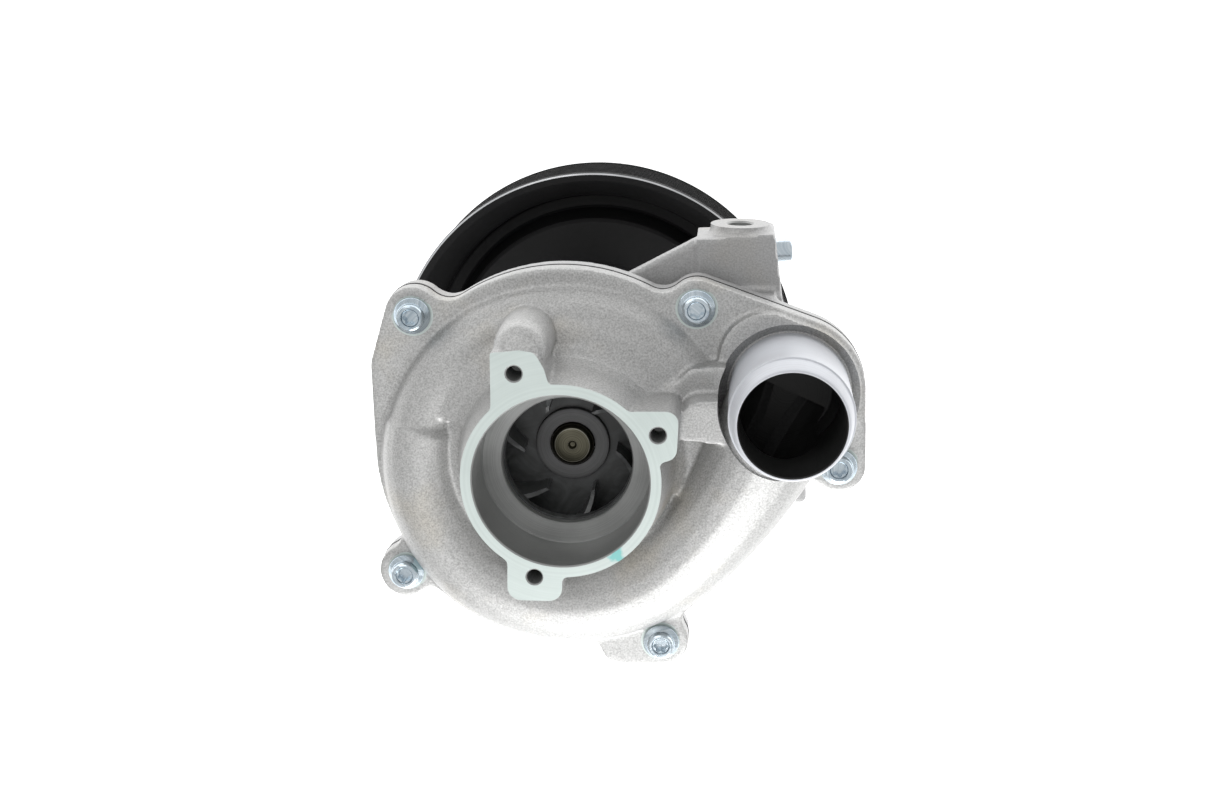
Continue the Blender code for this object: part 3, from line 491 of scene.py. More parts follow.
margin = (PULLEY_W - RIBS * RIB_PITCH) / 2
rim = [
    (11.0, 12.0),
    (40, 12.0),
    (45, 15.0),
    (62, 15.0),
    (66, 2.5),
    (76.4, 2.5),
    (80.0, 0.2),
    (82.0, 0),
    (PULLEY_R - 1.2, 0),
    (PULLEY_R - 0.25, 0.3),
    (PULLEY_R, 1.0),
    (PULLEY_R, margin - 0.2),
]
for index in range(RIBS):
    foot = margin + index * RIB_PITCH
    rim += [
        (PULLEY_R - RIB_DEPTH, foot + 0.40 * RIB_PITCH),
        (PULLEY_R - RIB_DEPTH, foot + 0.60 * RIB_PITCH),
        (PULLEY_R - 0.15, foot + 0.93 * RIB_PITCH),
        (PULLEY_R - 0.15, foot + 1.07 * RIB_PITCH),
    ]
rim[-1] = (PULLEY_R, foot + RIB_PITCH + 0.2)
rim += [
    (PULLEY_R, PULLEY_W - 1.0),
    (PULLEY_R - 0.25, PULLEY_W - 0.35),
    (PULLEY_R - 0.9, PULLEY_W),
    (PULLEY_R - 3.4, PULLEY_W),
    (PULLEY_R - 4.1, PULLEY_W - 0.6),
    (76.6, 20.4),
    (75.6, 18.8),
    (74.6, 8.6),
    (73.6, 7.6),
    (69.6, 7.6),
    (68.6, 8.4),
    (65.4, 19.0),
    (64.0, 20.0),
    (47.0, 20.0),
    (45.6, 19.4),
    (42.6, 16.4),
    (41.4, 16.0),
    (11.0, 16.0),
    (11.0, 12.0),
]
pulley_piece = turn_on_lathe("belt_pulley", rim, 256)
BOLT_CIRCLE, BOLTS = 20.0, 4
for index in range(BOLTS):
    turn = 2 * math.pi * (index + 0.5) / BOLTS
    hole = turn_on_lathe(
        "hole",
        [(0, 5), (3.4, 5), (3.4, 25), (0, 25)],
        32,
        (BOLT_CIRCLE * math.cos(turn), BOLT_CIRCLE * math.sin(turn)),
    )
    cut_or_join(pulley_piece, hole, "DIFFERENCE")
pulley_piece.data.materials.clear()
pulley_piece.data.materials.append(satin)
pulley_piece.data.materials.append(lip_painted_highlight)
# The top lip's outer edge gets the pale steel, a painted highlight.
for face in pulley_piece.data.polygons:
    out = math.hypot(face.center.x, face.center.y)
    on_edge = PULLEY_R - 0.8 < out / MM < PULLEY_R + 0.1
    if on_edge and face.center.z > (PULLEY_W - 0.3) * MM:
        face.material_index = 1
pulley_piece.select_set(True)
bpy.context.view_layer.objects.active = pulley_piece
bpy.ops.object.shade_smooth_by_angle(angle=math.radians(28))
pulley_piece.select_set(False)
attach(pulley_piece, "rotor")
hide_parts("pulley")

bearing_steel = turned_metal("ground_steel", (0.34, 0.34, 0.345), (0.56, 0.56, 0.57), 0.24, 1.0)
pulley_hub_piece = turn_on_lathe(
    "flanged_pulley_hub",
    [
        (8.2, 9.0),
        (9.7, 9.0),
        (10.2, 9.5),
        (10.2, 16.3),
        (26.4, 16.3),
        (27.0, 16.9),
        (27.0, 20.7),
        (26.4, 21.3),
        (15.0, 21.3),
        (14.0, 22.2),
        (13.2, 31.4),
        (12.5, 32.3),
        (8.9, 32.3),
        (8.2, 31.6),
        (8.2, 9.0),
    ],
    96,
)
for index in range(BOLTS):
    turn = 2 * math.pi * (index + 0.5) / BOLTS
    hole = turn_on_lathe(
        "hole",
        [(0, 12), (3.3, 12), (3.3, 28), (0, 28)],
        32,
        (BOLT_CIRCLE * math.cos(turn), BOLT_CIRCLE * math.sin(turn)),
    )
    cut_or_join(pulley_hub_piece, hole, "DIFFERENCE")
pulley_hub_piece.data.materials.clear()
pulley_hub_piece.data.materials.append(bearing_steel)
pulley_hub_piece.select_set(True)
bpy.context.view_layer.objects.active = pulley_hub_piece
bpy.ops.object.shade_smooth_by_angle(angle=math.radians(28))
pulley_hub_piece.select_set(False)
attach(pulley_hub_piece, "rotor")
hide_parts("pulley_hub")


# ---------------------------------------------------------------- castings
# Two gravity castings in aluminium share one outline: a cover with the scroll, and the housing that
# carries the bearing.  Each is built from plain masses, fused and softened like a casting, and
# then machined: the cutters leave a bright turned finish where they have been, and a near-black
# painted shade inside the passage, the outlet bore and on the housing's joint face.

# Lugs round the cover screws: x, y and radius, in mm
LUGS = (
    (-57.5, 50.5, 10.4),
    (45.9, 54.9, 10.3),
    (-62.8, -49.2, 10.4),
    (34.3, -74.8, 10.3),
    (98.6, -3.4, 10.0),
)
OUTLET = (79.8, 24.5)
SEAT_Z, COVER_Z, HOUSING_Z, HOUSING_BACK_Z = 147.5, 141.0, 139.4, 131.4


def hollow_centre(first, second, radius):
    """Centre of the hollow arc of this radius between two circles, to the right of the way on."""
    (x1, y1, r1), (x2, y2, r2) = first, second
    a, b = r1 + radius, r2 + radius
    run = math.hypot(x2 - x1, y2 - y1)
    along = (a * a - b * b + run * run) / (2 * run)
    across = math.sqrt(a * a - along * along)
    ux, uy = (x2 - x1) / run, (y2 - y1) / run
    return x1 + ux * along + uy * across, y1 + uy * along - ux * across


def arc(x, y, radius, start, sweep, step):
    count = max(2, math.ceil(abs(sweep) * max(radius, 6) / step))
    angles = [start + sweep * i / count for i in range(count + 1)]
    return [(x + radius * math.cos(a), y + radius * math.sin(a)) for a in angles]


def belt_round(circles, step=1.2):
    """Outline running anticlockwise round circles of (x, y, radius, hollow).  A hollow is the radius
    of the inward arc to the next circle, or None where a straight edge runs to it."""
    leave, reach, hollows = [], [], []
    for index, (x1, y1, r1, hollow) in enumerate(circles):
        x2, y2, r2, _ = circles[(index + 1) % len(circles)]
        if hollow is None:
            run = math.hypot(x2 - x1, y2 - y1)
            normal = math.atan2(y2 - y1, x2 - x1) - math.acos((r1 - r2) / run)
            leave.append(normal)
            reach.append(normal)
            hollows.append(None)
        else:
            fx, fy = hollow_centre((x1, y1, r1), (x2, y2, r2), hollow)
            leave.append(math.atan2(fy - y1, fx - x1))
            reach.append(math.atan2(fy - y2, fx - x2))
            hollows.append((fx, fy))
    points = []
    for index, (x, y, radius, hollow) in enumerate(circles):
        sweep = (leave[index] - reach[index - 1]) % (2 * math.pi)
        points += arc(x, y, radius, reach[index - 1], sweep, step)
        if hollow is not None:
            fx, fy = hollows[index]
            first = leave[index] + math.pi
            turn = (reach[index] + math.pi - first) % (2 * math.pi) - 2 * math.pi
            points += arc(fx, fy, hollow, first, turn, step)[1:-1]
    return points


def casting_outline(inset=0.0):
    """Outline that the cover, the gasket and the housing share, drawn in by an inset."""
    lug1, lug2, lug3, lug4, lug5 = ((x, y, r - inset) for x, y, r in LUGS)
    bottom = (0, -1, 75.2 - inset)
    return belt_round(
        (
            (*lug2, 8.5 + inset),
            (-2, 0, 68.8 - inset, 9 + inset),
            (*lug1, None),
            (-66.5, 31, 7.3 - inset, None),
            (0, 0, 73 - inset, 5 + inset),
            (*lug3, 4 + inset),
            (*bottom, 5 + inset),
            (20, -76.3, 9 - inset, None),
            (*lug4, 6 + inset),
            (*bottom, 12 + inset),
            (*lug5, None),
            (79.5, 24.2, 28 - inset, None),
        )
    )


def cast_grain_group():
    """Sand-like grain of a casting: a fine speckle, broader unevenness and a normal from both."""
    tree, given, out = group_with(
        "cast_grain",
        (
            ("Place", "NodeSocketVector", None),
            ("Grain", "NodeSocketFloat", 1500.0),
            ("Depth", "NodeSocketFloat", 0.5),
        ),
        (("Speckle", "NodeSocketFloat"), ("Cloud", "NodeSocketFloat"), ("Normal", "NodeSocketVector")),
    )
    link = tree.links.new
    fine = tree.nodes.new("ShaderNodeTexNoise")
    fine.inputs["Detail"].default_value = 3
    fine.inputs["Roughness"].default_value = 0.65
    broad = tree.nodes.new("ShaderNodeTexNoise")
    broad.inputs["Scale"].default_value = 34
    broad.inputs["Detail"].default_value = 5
    uneven = tree.nodes.new("ShaderNodeTexNoise")
    uneven.inputs["Scale"].default_value = 240
    uneven.inputs["Detail"].default_value = 2
    sum_of = tree.nodes.new("ShaderNodeMath")
    sum_of.operation = "MULTIPLY_ADD"
    sum_of.inputs[1].default_value = 1.6
    bump = tree.nodes.new("ShaderNodeBump")
    bump.inputs["Distance"].default_value = 0.16 * MM
    for texture in (fine, broad, uneven):
        link(given.outputs["Place"], texture.inputs["Vector"])
    link(given.outputs["Grain"], fine.inputs["Scale"])
    link(uneven.outputs["Fac"], sum_of.inputs[0])
    link(fine.outputs["Fac"], sum_of.inputs[2])
    link(sum_of.outputs[0], bump.inputs["Height"])
    link(given.outputs["Depth"], bump.inputs["Strength"])
    link(fine.outputs["Fac"], out.inputs["Speckle"])
    link(broad.outputs["Fac"], out.inputs["Cloud"])
    link(bump.outputs["Normal"], out.inputs["Normal"])
    return tree


CAST_GRAIN = cast_grain_group()


def cast_metal(name, dark, light, stain, depth):
    """Cast aluminium: speckled between two greys, with faint warm stains."""
    material, tree, shader, place = new_material(name, light, 0.5, 0.75)
    link = tree.links.new
    grain = tree.nodes.new("ShaderNodeGroup")
    grain.node_tree = CAST_GRAIN
    grain.inputs["Depth"].default_value = depth
    link(place, grain.inputs["Place"])
    speckle = tree.nodes.new("ShaderNodeValToRGB")
    speckle.color_ramp.elements[0].position = 0.34
    speckle.color_ramp.elements[0].color = (*dark, 1)
    speckle.color_ramp.elements[1].position = 0.62
    speckle.color_ramp.elements[1].color = (*light, 1)
    link(grain.outputs["Speckle"], speckle.inputs["Fac"])
    stained = tree.nodes.new("ShaderNodeMix")
    stained.data_type = "RGBA"
    stained.blend_type = "MULTIPLY"
    stained.inputs["B"].default_value = (*stain, 1)
    where = tree.nodes.new("ShaderNodeMapRange")
    where.inputs["From Min"].default_value = 0.56
    where.inputs["From Max"].default_value = 0.74
    where.inputs["To Max"].default_value = 0.75
    link(grain.outputs["Cloud"], where.inputs["Value"])
    link(where.outputs["Result"], stained.inputs["Factor"])
    link(speckle.outputs["Color"], stained.inputs["A"])
    link(stained.outputs["Result"], shader.inputs["Base Color"])
    rough = tree.nodes.new("ShaderNodeMapRange")
    rough.inputs["To Min"].default_value = 0.42
    rough.inputs["To Max"].default_value = 0.62
    link(grain.outputs["Speckle"], rough.inputs["Value"])
    link(rough.outputs["Result"], shader.inputs["Roughness"])
    link(grain.outputs["Normal"], shader.inputs["Normal"])
    return material


cast_cover = cast_metal(
    "cast_aluminium_cover", (0.33, 0.33, 0.325), (0.53, 0.53, 0.525), (1.0, 0.95, 0.86), 0.6
)
cast_housing = cast_metal(
    "cast_aluminium_housing", (0.34, 0.34, 0.34), (0.47, 0.47, 0.47), (0.98, 0.95, 0.9), 0.35
)
milled = turned_metal(
    "milled_aluminium", (0.50, 0.56, 0.54), (0.55, 0.61, 0.59), 0.42, 0.35, rings=1.2, depth=0.02
)
tree = milled.node_tree
shader = tree.nodes["Principled BSDF"]
surface = shader.inputs["Base Color"].links[0].from_socket
coordinates = tree.nodes.new("ShaderNodeTexCoord")
wander = tree.nodes.new("ShaderNodeTexNoise")
wander.inputs["Scale"].default_value = 320
reach = tree.nodes.new("ShaderNodeVectorMath")
reach.operation = "DISTANCE"
reach.inputs[1].default_value = (0.0199, -0.0266, 0.184)
edge = tree.nodes.new("ShaderNodeMath")
edge.operation = "MULTIPLY_ADD"
edge.inputs[1].default_value = 0.006
within = tree.nodes.new("ShaderNodeMapRange")
within.inputs["From Min"].default_value = 0.0050
within.inputs["From Max"].default_value = 0.0060
within.inputs["To Min"].default_value = 0.8
within.inputs["To Max"].default_value = 0.0
painted = tree.nodes.new("ShaderNodeMix")
painted.data_type = "RGBA"
painted.inputs["B"].default_value = (0.13, 0.47, 0.45, 1)
tree.links.new(coordinates.outputs["Object"], wander.inputs["Vector"])
tree.links.new(coordinates.outputs["Object"], reach.inputs[0])
tree.links.new(wander.outputs["Fac"], edge.inputs[0])
tree.links.new(reach.outputs["Value"], edge.inputs[2])
tree.links.new(edge.outputs[0], within.inputs["Value"])
tree.links.new(within.outputs["Result"], painted.inputs["Factor"])
tree.links.new(surface, painted.inputs["A"])
tree.links.new(painted.outputs["Result"], shader.inputs["Base Color"])
bored = turned_metal(
    "bored_aluminium", (0.27, 0.275, 0.27), (0.39, 0.395, 0.39), 0.42, 0.6, rings=3, depth=0.2
)
spigot_turned = turned_metal(
    "turned_spigot", (0.50, 0.51, 0.54), (0.60, 0.62, 0.66), 0.40, 0.15, centre=OUTLET, rings=2.4, depth=0.10
)
# Near-black painted shade: the insides of the passage and the outlet bore, and the housing's joint face, are
# coloured almost black to stand in for the shade there.
painted_shade_black = turned_metal(
    "painted_shade_black_finish", (0.01, 0.01, 0.01), (0.03, 0.03, 0.03), 0.45, 0.0, centre=OUTLET, rings=2, depth=0.3
)


def box_between(name, x, y, z):
    bpy.ops.mesh.primitive_cube_add(size=1, location=[sum(side) / 2 * MM for side in (x, y, z)])
    piece = bpy.context.active_object
    piece.name = name
    piece.scale = [(side[1] - side[0]) * MM for side in (x, y, z)]
    bpy.ops.object.transform_apply(location=True, rotation=True, scale=True)
    piece.select_set(False)
    return piece


def drill(name, radius, low, high, centre, finish=None, chamfer=0.0, point=0.0, segments=48):
    """A cutter for a round hole, with an optional chamfer at its mouth and a drill point below."""
    profile = [(0, low - point), (radius, low), (radius, high - chamfer)]
    if chamfer:
        profile += [(radius + 2 * chamfer, high + chamfer)]
    profile += [(profile[-1][0], high + 6), (0, high + 6)]
    cutter = turn_on_lathe(name, profile, segments, centre)
    if finish:
        cutter.data.materials.append(finish)
    return cutter


def lay(piece, turn, place):
    """Turn a piece that was made on the Z axis, and move it to its place in mm."""
    bpy.ops.object.select_all(action="DESELECT")
    bpy.context.view_layer.objects.active = piece
    piece.select_set(True)
    piece.rotation_euler = turn
    piece.location = [value * MM for value in place]
    bpy.ops.object.transform_apply(location=True, rotation=True, scale=True)
    piece.select_set(False)
    return piece


def cast(piece, voxel, rounds):
    """Fuse the masses, then soften every edge, as a casting's fillets do."""
    fused = piece.modifiers.new("fused", "REMESH")
    fused.mode = "VOXEL"
    fused.voxel_size = voxel * MM
    soft = piece.modifiers.new("soft", "SMOOTH")
    soft.factor = 0.5
    soft.iterations = rounds
    apply_modifiers(piece)


def smooth_by_angle(piece, angle=35):
    bpy.ops.object.select_all(action="DESELECT")
    bpy.context.view_layer.objects.active = piece
    piece.select_set(True)
    bpy.ops.object.shade_smooth_by_angle(angle=math.radians(angle))
    piece.select_set(False)


def scroll_line(wall, since=0.0, lift=0.0):
    """Centres and radii, in mm, of the scroll's round section from its tongue to the outlet."""
    start, end = math.radians(52), math.radians(300)
    line = []
    for i in range(41):
        part = i / 40
        if part < since:
            continue
        angle = start + (end - start) * part
        radius = 6.0 + 6.5 * part
        run = 55 + 14.5 * min(1, part / 0.72) - radius
        centre = Vector((run * math.cos(angle), run * math.sin(angle), COVER_Z + 0.42 * radius + lift))
        line.append((centre, radius + wall))
    first = line[-1][0]
    foot = Vector((*OUTLET, COVER_Z + 15))
    leave = first + Vector((-math.sin(end), math.cos(end), 0)) * 22
    arrive = foot - Vector((0.40, 0.917, 0)) * 40
    for i in range(1, 17):
        t = i / 16
        u = 1 - t
        centre = first * u**3 + leave * 3 * t * u**2 + arrive * 3 * t**2 * u + foot * t**3
        line.append((centre, 12.5 + 4.9 * t**2 + wall))
    return line


def sweep_tube(name, line, sides=8):
    """A round tube along a line of (centre, radius), with closed ends, remeshed so that it is clean."""
    curve = bpy.data.curves.new(name, "CURVE")
    curve.dimensions = "3D"
    curve.bevel_depth = MM
    curve.bevel_resolution = sides
    curve.use_fill_caps = True
    spline = curve.splines.new("POLY")
    spline.points.add(len(line) - 1)
    for point, (centre, radius) in zip(spline.points, line):
        point.co = (*(centre * MM), 1)
        point.radius = radius
    tube = bpy.data.objects.new(name, curve)
    bpy.context.scene.collection.objects.link(tube)
    bpy.ops.object.select_all(action="DESELECT")
    bpy.context.view_layer.objects.active = tube
    tube.select_set(True)
    bpy.ops.object.convert(target="MESH")
    tube = bpy.context.active_object
    open_mesh(tube)
    close_mesh(tube)
    cast(tube, 1.1, 1)
    return tube


def passage_cutter():
    cutter = sweep_tube("passage", scroll_line(0))
    # The passage walls get the near-black painted shade.
    cutter.data.materials.append(painted_shade_black)
    return cutter


# Housing: flange, bearing snout with fins, and the mounting bracket with its boss, web and foot
BOSS_X, BOSS_Z = 60.9, 113
PIN_START, PIN_TILT = (67.8, 69.2, BOSS_Z), math.radians(5)
housing = pull_up("bearing_housing_casting", casting_outline(0.15), HOUSING_BACK_Z, HOUSING_Z + 3)
housing_masses = [
    turn_on_lathe(
        "snout",
        [(0, 44), (25, 44), (26, 45), (27.5, 104), (34, 118), (58, 125), (60, 133.4), (0, 133.4)],
        128,
    ),
    pull_up("block", [(46.2, 40), (78.9, 40), (77.3, 52.7), (73.7, 78.6), (44.9, 76.0)], 100, 126),
    box_between("neck", (47, 74.5), (36, 57), (120, 133)),
    lay(
        turn_on_lathe("boss", [(0, 38), (11, 38), (11, 82), (0, 82)], 96),
        (-math.pi / 2, 0, 0),
        (BOSS_X, 0, BOSS_Z),
    ),
    pull_up("web", [(8, 20), (50, 30), (50, 74), (44.8, 76.0), (8, 56.2)], 118.5, 124.5),
    pull_up("foot", [(60, -25.8), (77, -22.6), (87.9, -20.7), (87.1, -8), (60, -8)], 122, 138),
]
for index in range(6):
    turn = math.radians(60 * index + 8)
    fin = pull_up("fin", [(22, 86), (27.2, 86), (52, 115.5), (52, 128), (22, 128)], -2.5, 2.5)
    lay(fin, (math.pi / 2, 0, turn), (0, 0, 0))
    housing_masses.append(fin)
for mass in housing_masses:
    cut_or_join(housing, mass, "UNION", "MANIFOLD")
housing.data.materials.clear()
housing.data.materials.append(cast_housing)
cast(housing, 1.0, 4)
joint_mill = box_between("joint_mill", (-120, 140), (-120, 120), (HOUSING_Z, 160))
# The housing's joint face gets the near-black painted shade.
joint_mill.data.materials.append(painted_shade_black)
boss_mill = box_between("boss_mill", (47, 75), (80, 90), (98, 128))
boss_mill.data.materials.append(cast_housing)
recess = turn_on_lathe("recess", [(0, 131), (50, 131), (50, 146), (0, 146)], 128)
recess.data.materials.append(bored)
seat = turn_on_lathe(
    "bearing_seat",
    [(0, 40), (18.6, 40), (18.6, 43.9), (17.8, 44.7), (17.8, 112.3), (15.8, 112.3), (15.8, 135), (0, 135)],
    96,
)
seat.data.materials.append(bored)
bolt_way = lay(
    turn_on_lathe("bolt_way", [(0, 30), (4.7, 30), (4.7, 79.4), (6.5, 81.2), (6.5, 90), (0, 90)], 64),
    (-math.pi / 2, 0, 0),
    (BOSS_X, 0, BOSS_Z),
)
bolt_way.data.materials.append(bored)
pin_way = lay(
    turn_on_lathe("pin_way", [(0, -0.3), (5.2, -0.3), (5.2, 20), (0, 20)], 64),
    (0, math.pi / 2, PIN_TILT),
    PIN_START,
)
pin_way.data.materials.append(bored)
weep = lay(
    turn_on_lathe("weep", [(0, -60), (2.3, -60), (2.3, -10), (0, -10)], 32),
    (-math.pi / 2, 0, 0),
    (0, 0, 114.8),
)
weep.data.materials.append(bored)
DOWELS = ((-66.0, 32.5), (19.5, -77.3))
housing_cuts = [joint_mill, boss_mill, recess, seat, bolt_way, pin_way, weep]
housing_cuts += [drill("screw_way", 3.3, 110, HOUSING_Z + 1, (x, y), bored) for x, y, _ in LUGS]
housing_cuts += [drill("dowel_way", 2.8, HOUSING_Z - 5, HOUSING_Z + 1, centre, bored) for centre in DOWELS]
for cutter in housing_cuts:
    cut_or_join(housing, cutter, "DIFFERENCE", "MANIFOLD")
smooth_by_angle(housing)
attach(housing, "pump_body")
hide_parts("rear_housing")


# ---------------------------------------------------------------- gasket
# Thin black rubber-coated gasket between the two castings.  Its edge shows as a dark line.

rubber_coat, tree, shader, place = new_material("rubber_coated_gasket", (0.02, 0.02, 0.02), 0.6, 0.0)
mottle = tree.nodes.new("ShaderNodeTexNoise")
mottle.inputs["Scale"].default_value = 900
tree.links.new(place, mottle.inputs["Vector"])
mottled = tree.nodes.new("ShaderNodeValToRGB")
mottled.color_ramp.elements[0].color = (0.010, 0.010, 0.010, 1)
mottled.color_ramp.elements[1].color = (0.040, 0.040, 0.042, 1)
tree.links.new(mottle.outputs["Fac"], mottled.inputs["Fac"])
tree.links.new(mottled.outputs["Color"], shader.inputs["Base Color"])
gasket = pull_up("flange_gasket", casting_outline(-0.15), HOUSING_Z + 0.3, COVER_Z - 0.3)
gasket_cuts = [passage_cutter(), drill("window", 53, 130, 150, (0, 0), segments=128)]
gasket_cuts += [drill("screw_way", 3.3, 130, 150, (x, y)) for x, y, _ in LUGS]
gasket_cuts += [drill("dowel_way", 2.8, 130, 150, centre) for centre in DOWELS]
for cutter in gasket_cuts:
    cut_or_join(gasket, cutter, "DIFFERENCE")
gasket.data.materials.clear()
gasket.data.materials.append(rubber_coat)
smooth_by_angle(gasket)
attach(gasket, "pump_body")
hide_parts("cover_gasket")


# ---------------------------------------------------------------- volute cover
# Flange, casing round the eye, scroll, inlet boss with three ears, the stepped pad beside the
# outlet, and the outlet's raised boss, from which the turned spigot rises.

cover = pull_up("volute_cover_casting", casting_outline(), COVER_Z - 3, SEAT_Z)
casing = turn_on_lathe(
    "casing",
    [
        (0, 139),
        (63, 139),
        (62, SEAT_Z + 0.5),
        (57, 154),
        (52, 155.2),
        (49, 156.6),
        (43, 158.0),
        (39.5, 161),
        (38, 166),
        (35.1, 186),
        (35.1, 190),
        (0, 190),
    ],
    160,
)
valley = turn_on_lathe(
    "valley", [(39.5, 156.4), (46, 153.4), (64, 151.5), (64, 180), (39.5, 180), (39.5, 156.4)], 160
)
VALLEY_TURN = math.radians(-17)
lower_half = lay(
    box_between("lower_half", (-90, 90), (-90, 0), (140, 190)), (0, 0, VALLEY_TURN), (0, 0, 0)
)
cut_or_join(valley, lower_half, "INTERSECT", "MANIFOLD")
cut_or_join(casing, valley, "DIFFERENCE", "MANIFOLD")
EAR_FOOT_Z, EAR_BLANK_Z = 152, 188
EAR_2_CORNERS = ((36.8, 22.3, 4.2, None), (26, 22.3, 4, None), (24, 9, 4, None), (36.6, 12.6, 4, None))
EAR_3_CORNERS = (
    (-4, -28, 4.4, None),
    (-14.6, -28, 4.4, None),
    (-14.4, -39.8, 4.8, None),
    (-4.4, -39.8, 4.8, None),
)
masses = [
    casing,
    sweep_tube("scroll", scroll_line(4)),
    sweep_tube("scroll_swell", scroll_line(4.9, 0.46, 1.2)),
    pull_up("outlet_boss", belt_round(((71.2, 37, 17, None), (*OUTLET, 25.6, None))), 139, 150.8),
    pull_up(
        "ledge",
        [(24, 18), (36, 12), (58, 10.5), (58, 35.8), (49, 35.6)]
        + [(43.9, 34.7), (41.1, 32), (37.7, 28.6), (30.8, 28.5)],
        146,
        158,
    ),
    pull_up(
        "pad",
        [(36, 12.3), (40.6, 12.1), (50.7, 10.9), (57, 10.3), (57, 26.4)]
        + [(46.6, 26), (43.8, 24.8), (40.8, 21.2), (40.2, 18)],
        147,
        170,
    ),
    pull_up(
        "ear_1",
        [(-24, 20), (-4, 20), (-4, 36), (-5.4, 41), (-8.2, 45.8), (-9.4, 46.3), (-24, 46.3)],
        EAR_FOOT_Z,
        EAR_BLANK_Z,
    ),
    turn_on_lathe(
        "ear_1_back",
        [(0, 150), (10.2, 150), (9.9, 175), (9.0, 180), (6.5, 182.8), (0, 184)],
        64,
        (-14, 46.2),
    ),
    pull_up("ear_2", belt_round(EAR_2_CORNERS), EAR_FOOT_Z, EAR_BLANK_Z),
    pull_up("ear_3", belt_round(EAR_3_CORNERS), EAR_FOOT_Z, EAR_BLANK_Z),
]
for mass in masses:
    cut_or_join(cover, mass, "UNION", "MANIFOLD")
cover.data.materials.clear()
cover.data.materials.append(cast_cover)
cast(cover, 0.85, 4)

facing = turn_on_lathe(
    "facing",
    [(0, 147.3), (22.6, 147.3), (25.7, 150.1), (25.7, 196), (0, 196)],
    128,
    OUTLET,
)
facing.data.materials.append(cast_cover)
throat = sweep_tube("throat", scroll_line(4.2, 0.85))
throat.data.materials.append(cast_cover)
cut_or_join(facing, throat, "DIFFERENCE", "MANIFOLD")
cut_or_join(cover, facing, "DIFFERENCE", "MANIFOLD")
spigot = turn_on_lathe(
    "spigot",
    [
        (0, 146),
        (21.9, 146),
        (21.9, 182.4),
        (22.0, 182.7),
        (21.9, 183.0),
        (21.4, 183.3),
        (19.9, 191.0),
        (19.5, 191.7),
        (19.1, 192),
        (0, 192),
    ],
    128,
    OUTLET,
)
spigot.data.materials.append(spigot_turned)
cut_or_join(cover, spigot, "UNION", "MANIFOLD")

face_mill = box_between("face_mill", (-60, 57), (-60, 62), (184, 200))
face_mill.data.materials.append(milled)
under_mill = box_between("under_mill", (-120, 140), (-120, 120), (120, COVER_Z))
under_mill.data.materials.append(milled)
eye = turn_on_lathe(
    "eye",
    [
        (0, 138),
        (50, 138),
        (50, 147),
        (49, 148.6),
        (46, 150),
        (27, 155.6),
        (23.8, 155.6),
        (23.8, 159.0),
        (24.2, 159.5),
        (30.8, 159.6),
        (31.3, 160.2),
        (31.2, 183.5),
        (32.0, 184.3),
        (32.0, 194),
        (0, 194),
    ],
    160,
)
eye.data.materials.append(bored)
outlet_bore = turn_on_lathe(
    "outlet_bore",
    [(0, 147), (15.4, 147), (18.4, 151), (18.4, 191.2), (18.8, 191.7), (18.8, 196), (0, 196)],
    128,
    OUTLET,
)
# The outlet bore gets the near-black painted shade.
outlet_bore.data.materials.append(painted_shade_black)
cover_cuts = [face_mill, under_mill, eye, passage_cutter(), outlet_bore]
EARS = ((-15.8, 38.9), (34.0, 17.9), (-9.5, -35.6))
cover_cuts += [drill("tapped", 2.75, 170, 184, centre, bored, 0.45, 1.1) for centre in EARS]
for x, y, _ in LUGS:
    cover_cuts.append(drill("spot_face", 7.7, SEAT_Z, 186, (x, y), milled))
    cover_cuts.append(drill("clearance", 3.3, 130, SEAT_Z + 1, (x, y), bored))
for centre in DOWELS:
    dowel_way = turn_on_lathe("dowel_way", [(0, 130), (2.8, 130), (2.8, 145.2), (0, 145.4)], 48, centre)
    dowel_way.data.materials.append(bored)
    cover_cuts.append(dowel_way)
for cutter in cover_cuts:
    cut_or_join(cover, cutter, "DIFFERENCE", "MANIFOLD")
smooth_by_angle(cover)
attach(cover, "pump_body")
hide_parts("volute_cover")


# ---------------------------------------------------------------- screws, bolts, pin and dowels
# Five flanged screws with a raised head and a six-lobe socket, zinc plated, and a chamfered pin in
# the bracket, plated the same way.  The pulley's bolts share the plating and the dowels are ground.

plating = turned_metal(
    "bluish_zinc", (0.42, 0.50, 0.56), (0.66, 0.73, 0.78), 0.22, 1.0, rings=0.8, depth=0.05
)
HEAD_Z = SEAT_Z + 0.3
shank = [(0, HEAD_Z - 16), (2.2, HEAD_Z - 16), (2.6, HEAD_Z - 15.5)]
for turn in range(13):
    shank += [(2.9, HEAD_Z - 15.0 + turn), (2.45, HEAD_Z - 14.5 + turn)]
screw = turn_on_lathe(
    "cover_screw",
    shank
    + [
        (2.9, HEAD_Z - 1.2),
        (2.9, HEAD_Z),
        (6.55, HEAD_Z),
        (6.75, HEAD_Z + 0.2),
        (6.75, HEAD_Z + 0.9),
        (6.5, HEAD_Z + 1.3),
        (5.5, HEAD_Z + 1.9),
        (5.05, HEAD_Z + 2.5),
        (4.95, HEAD_Z + 4.2),
        (4.6, HEAD_Z + 4.9),
        (4.1, HEAD_Z + 5.2),
        (3.5, HEAD_Z + 5.2),
        (3.3, HEAD_Z + 5.05),
        (2.95, HEAD_Z + 4.3),
        (0, HEAD_Z + 4.3),
    ],
    64,
)
lobes = []
for i in range(72):
    angle = 2 * math.pi * i / 72
    reach = 2.5 + 0.36 * math.cos(6 * angle)
    lobes.append((reach * math.cos(angle), reach * math.sin(angle)))
cut_or_join(screw, pull_up("socket", lobes, HEAD_Z + 2.0, HEAD_Z + 7), "DIFFERENCE")
screw.data.materials.clear()
screw.data.materials.append(plating)
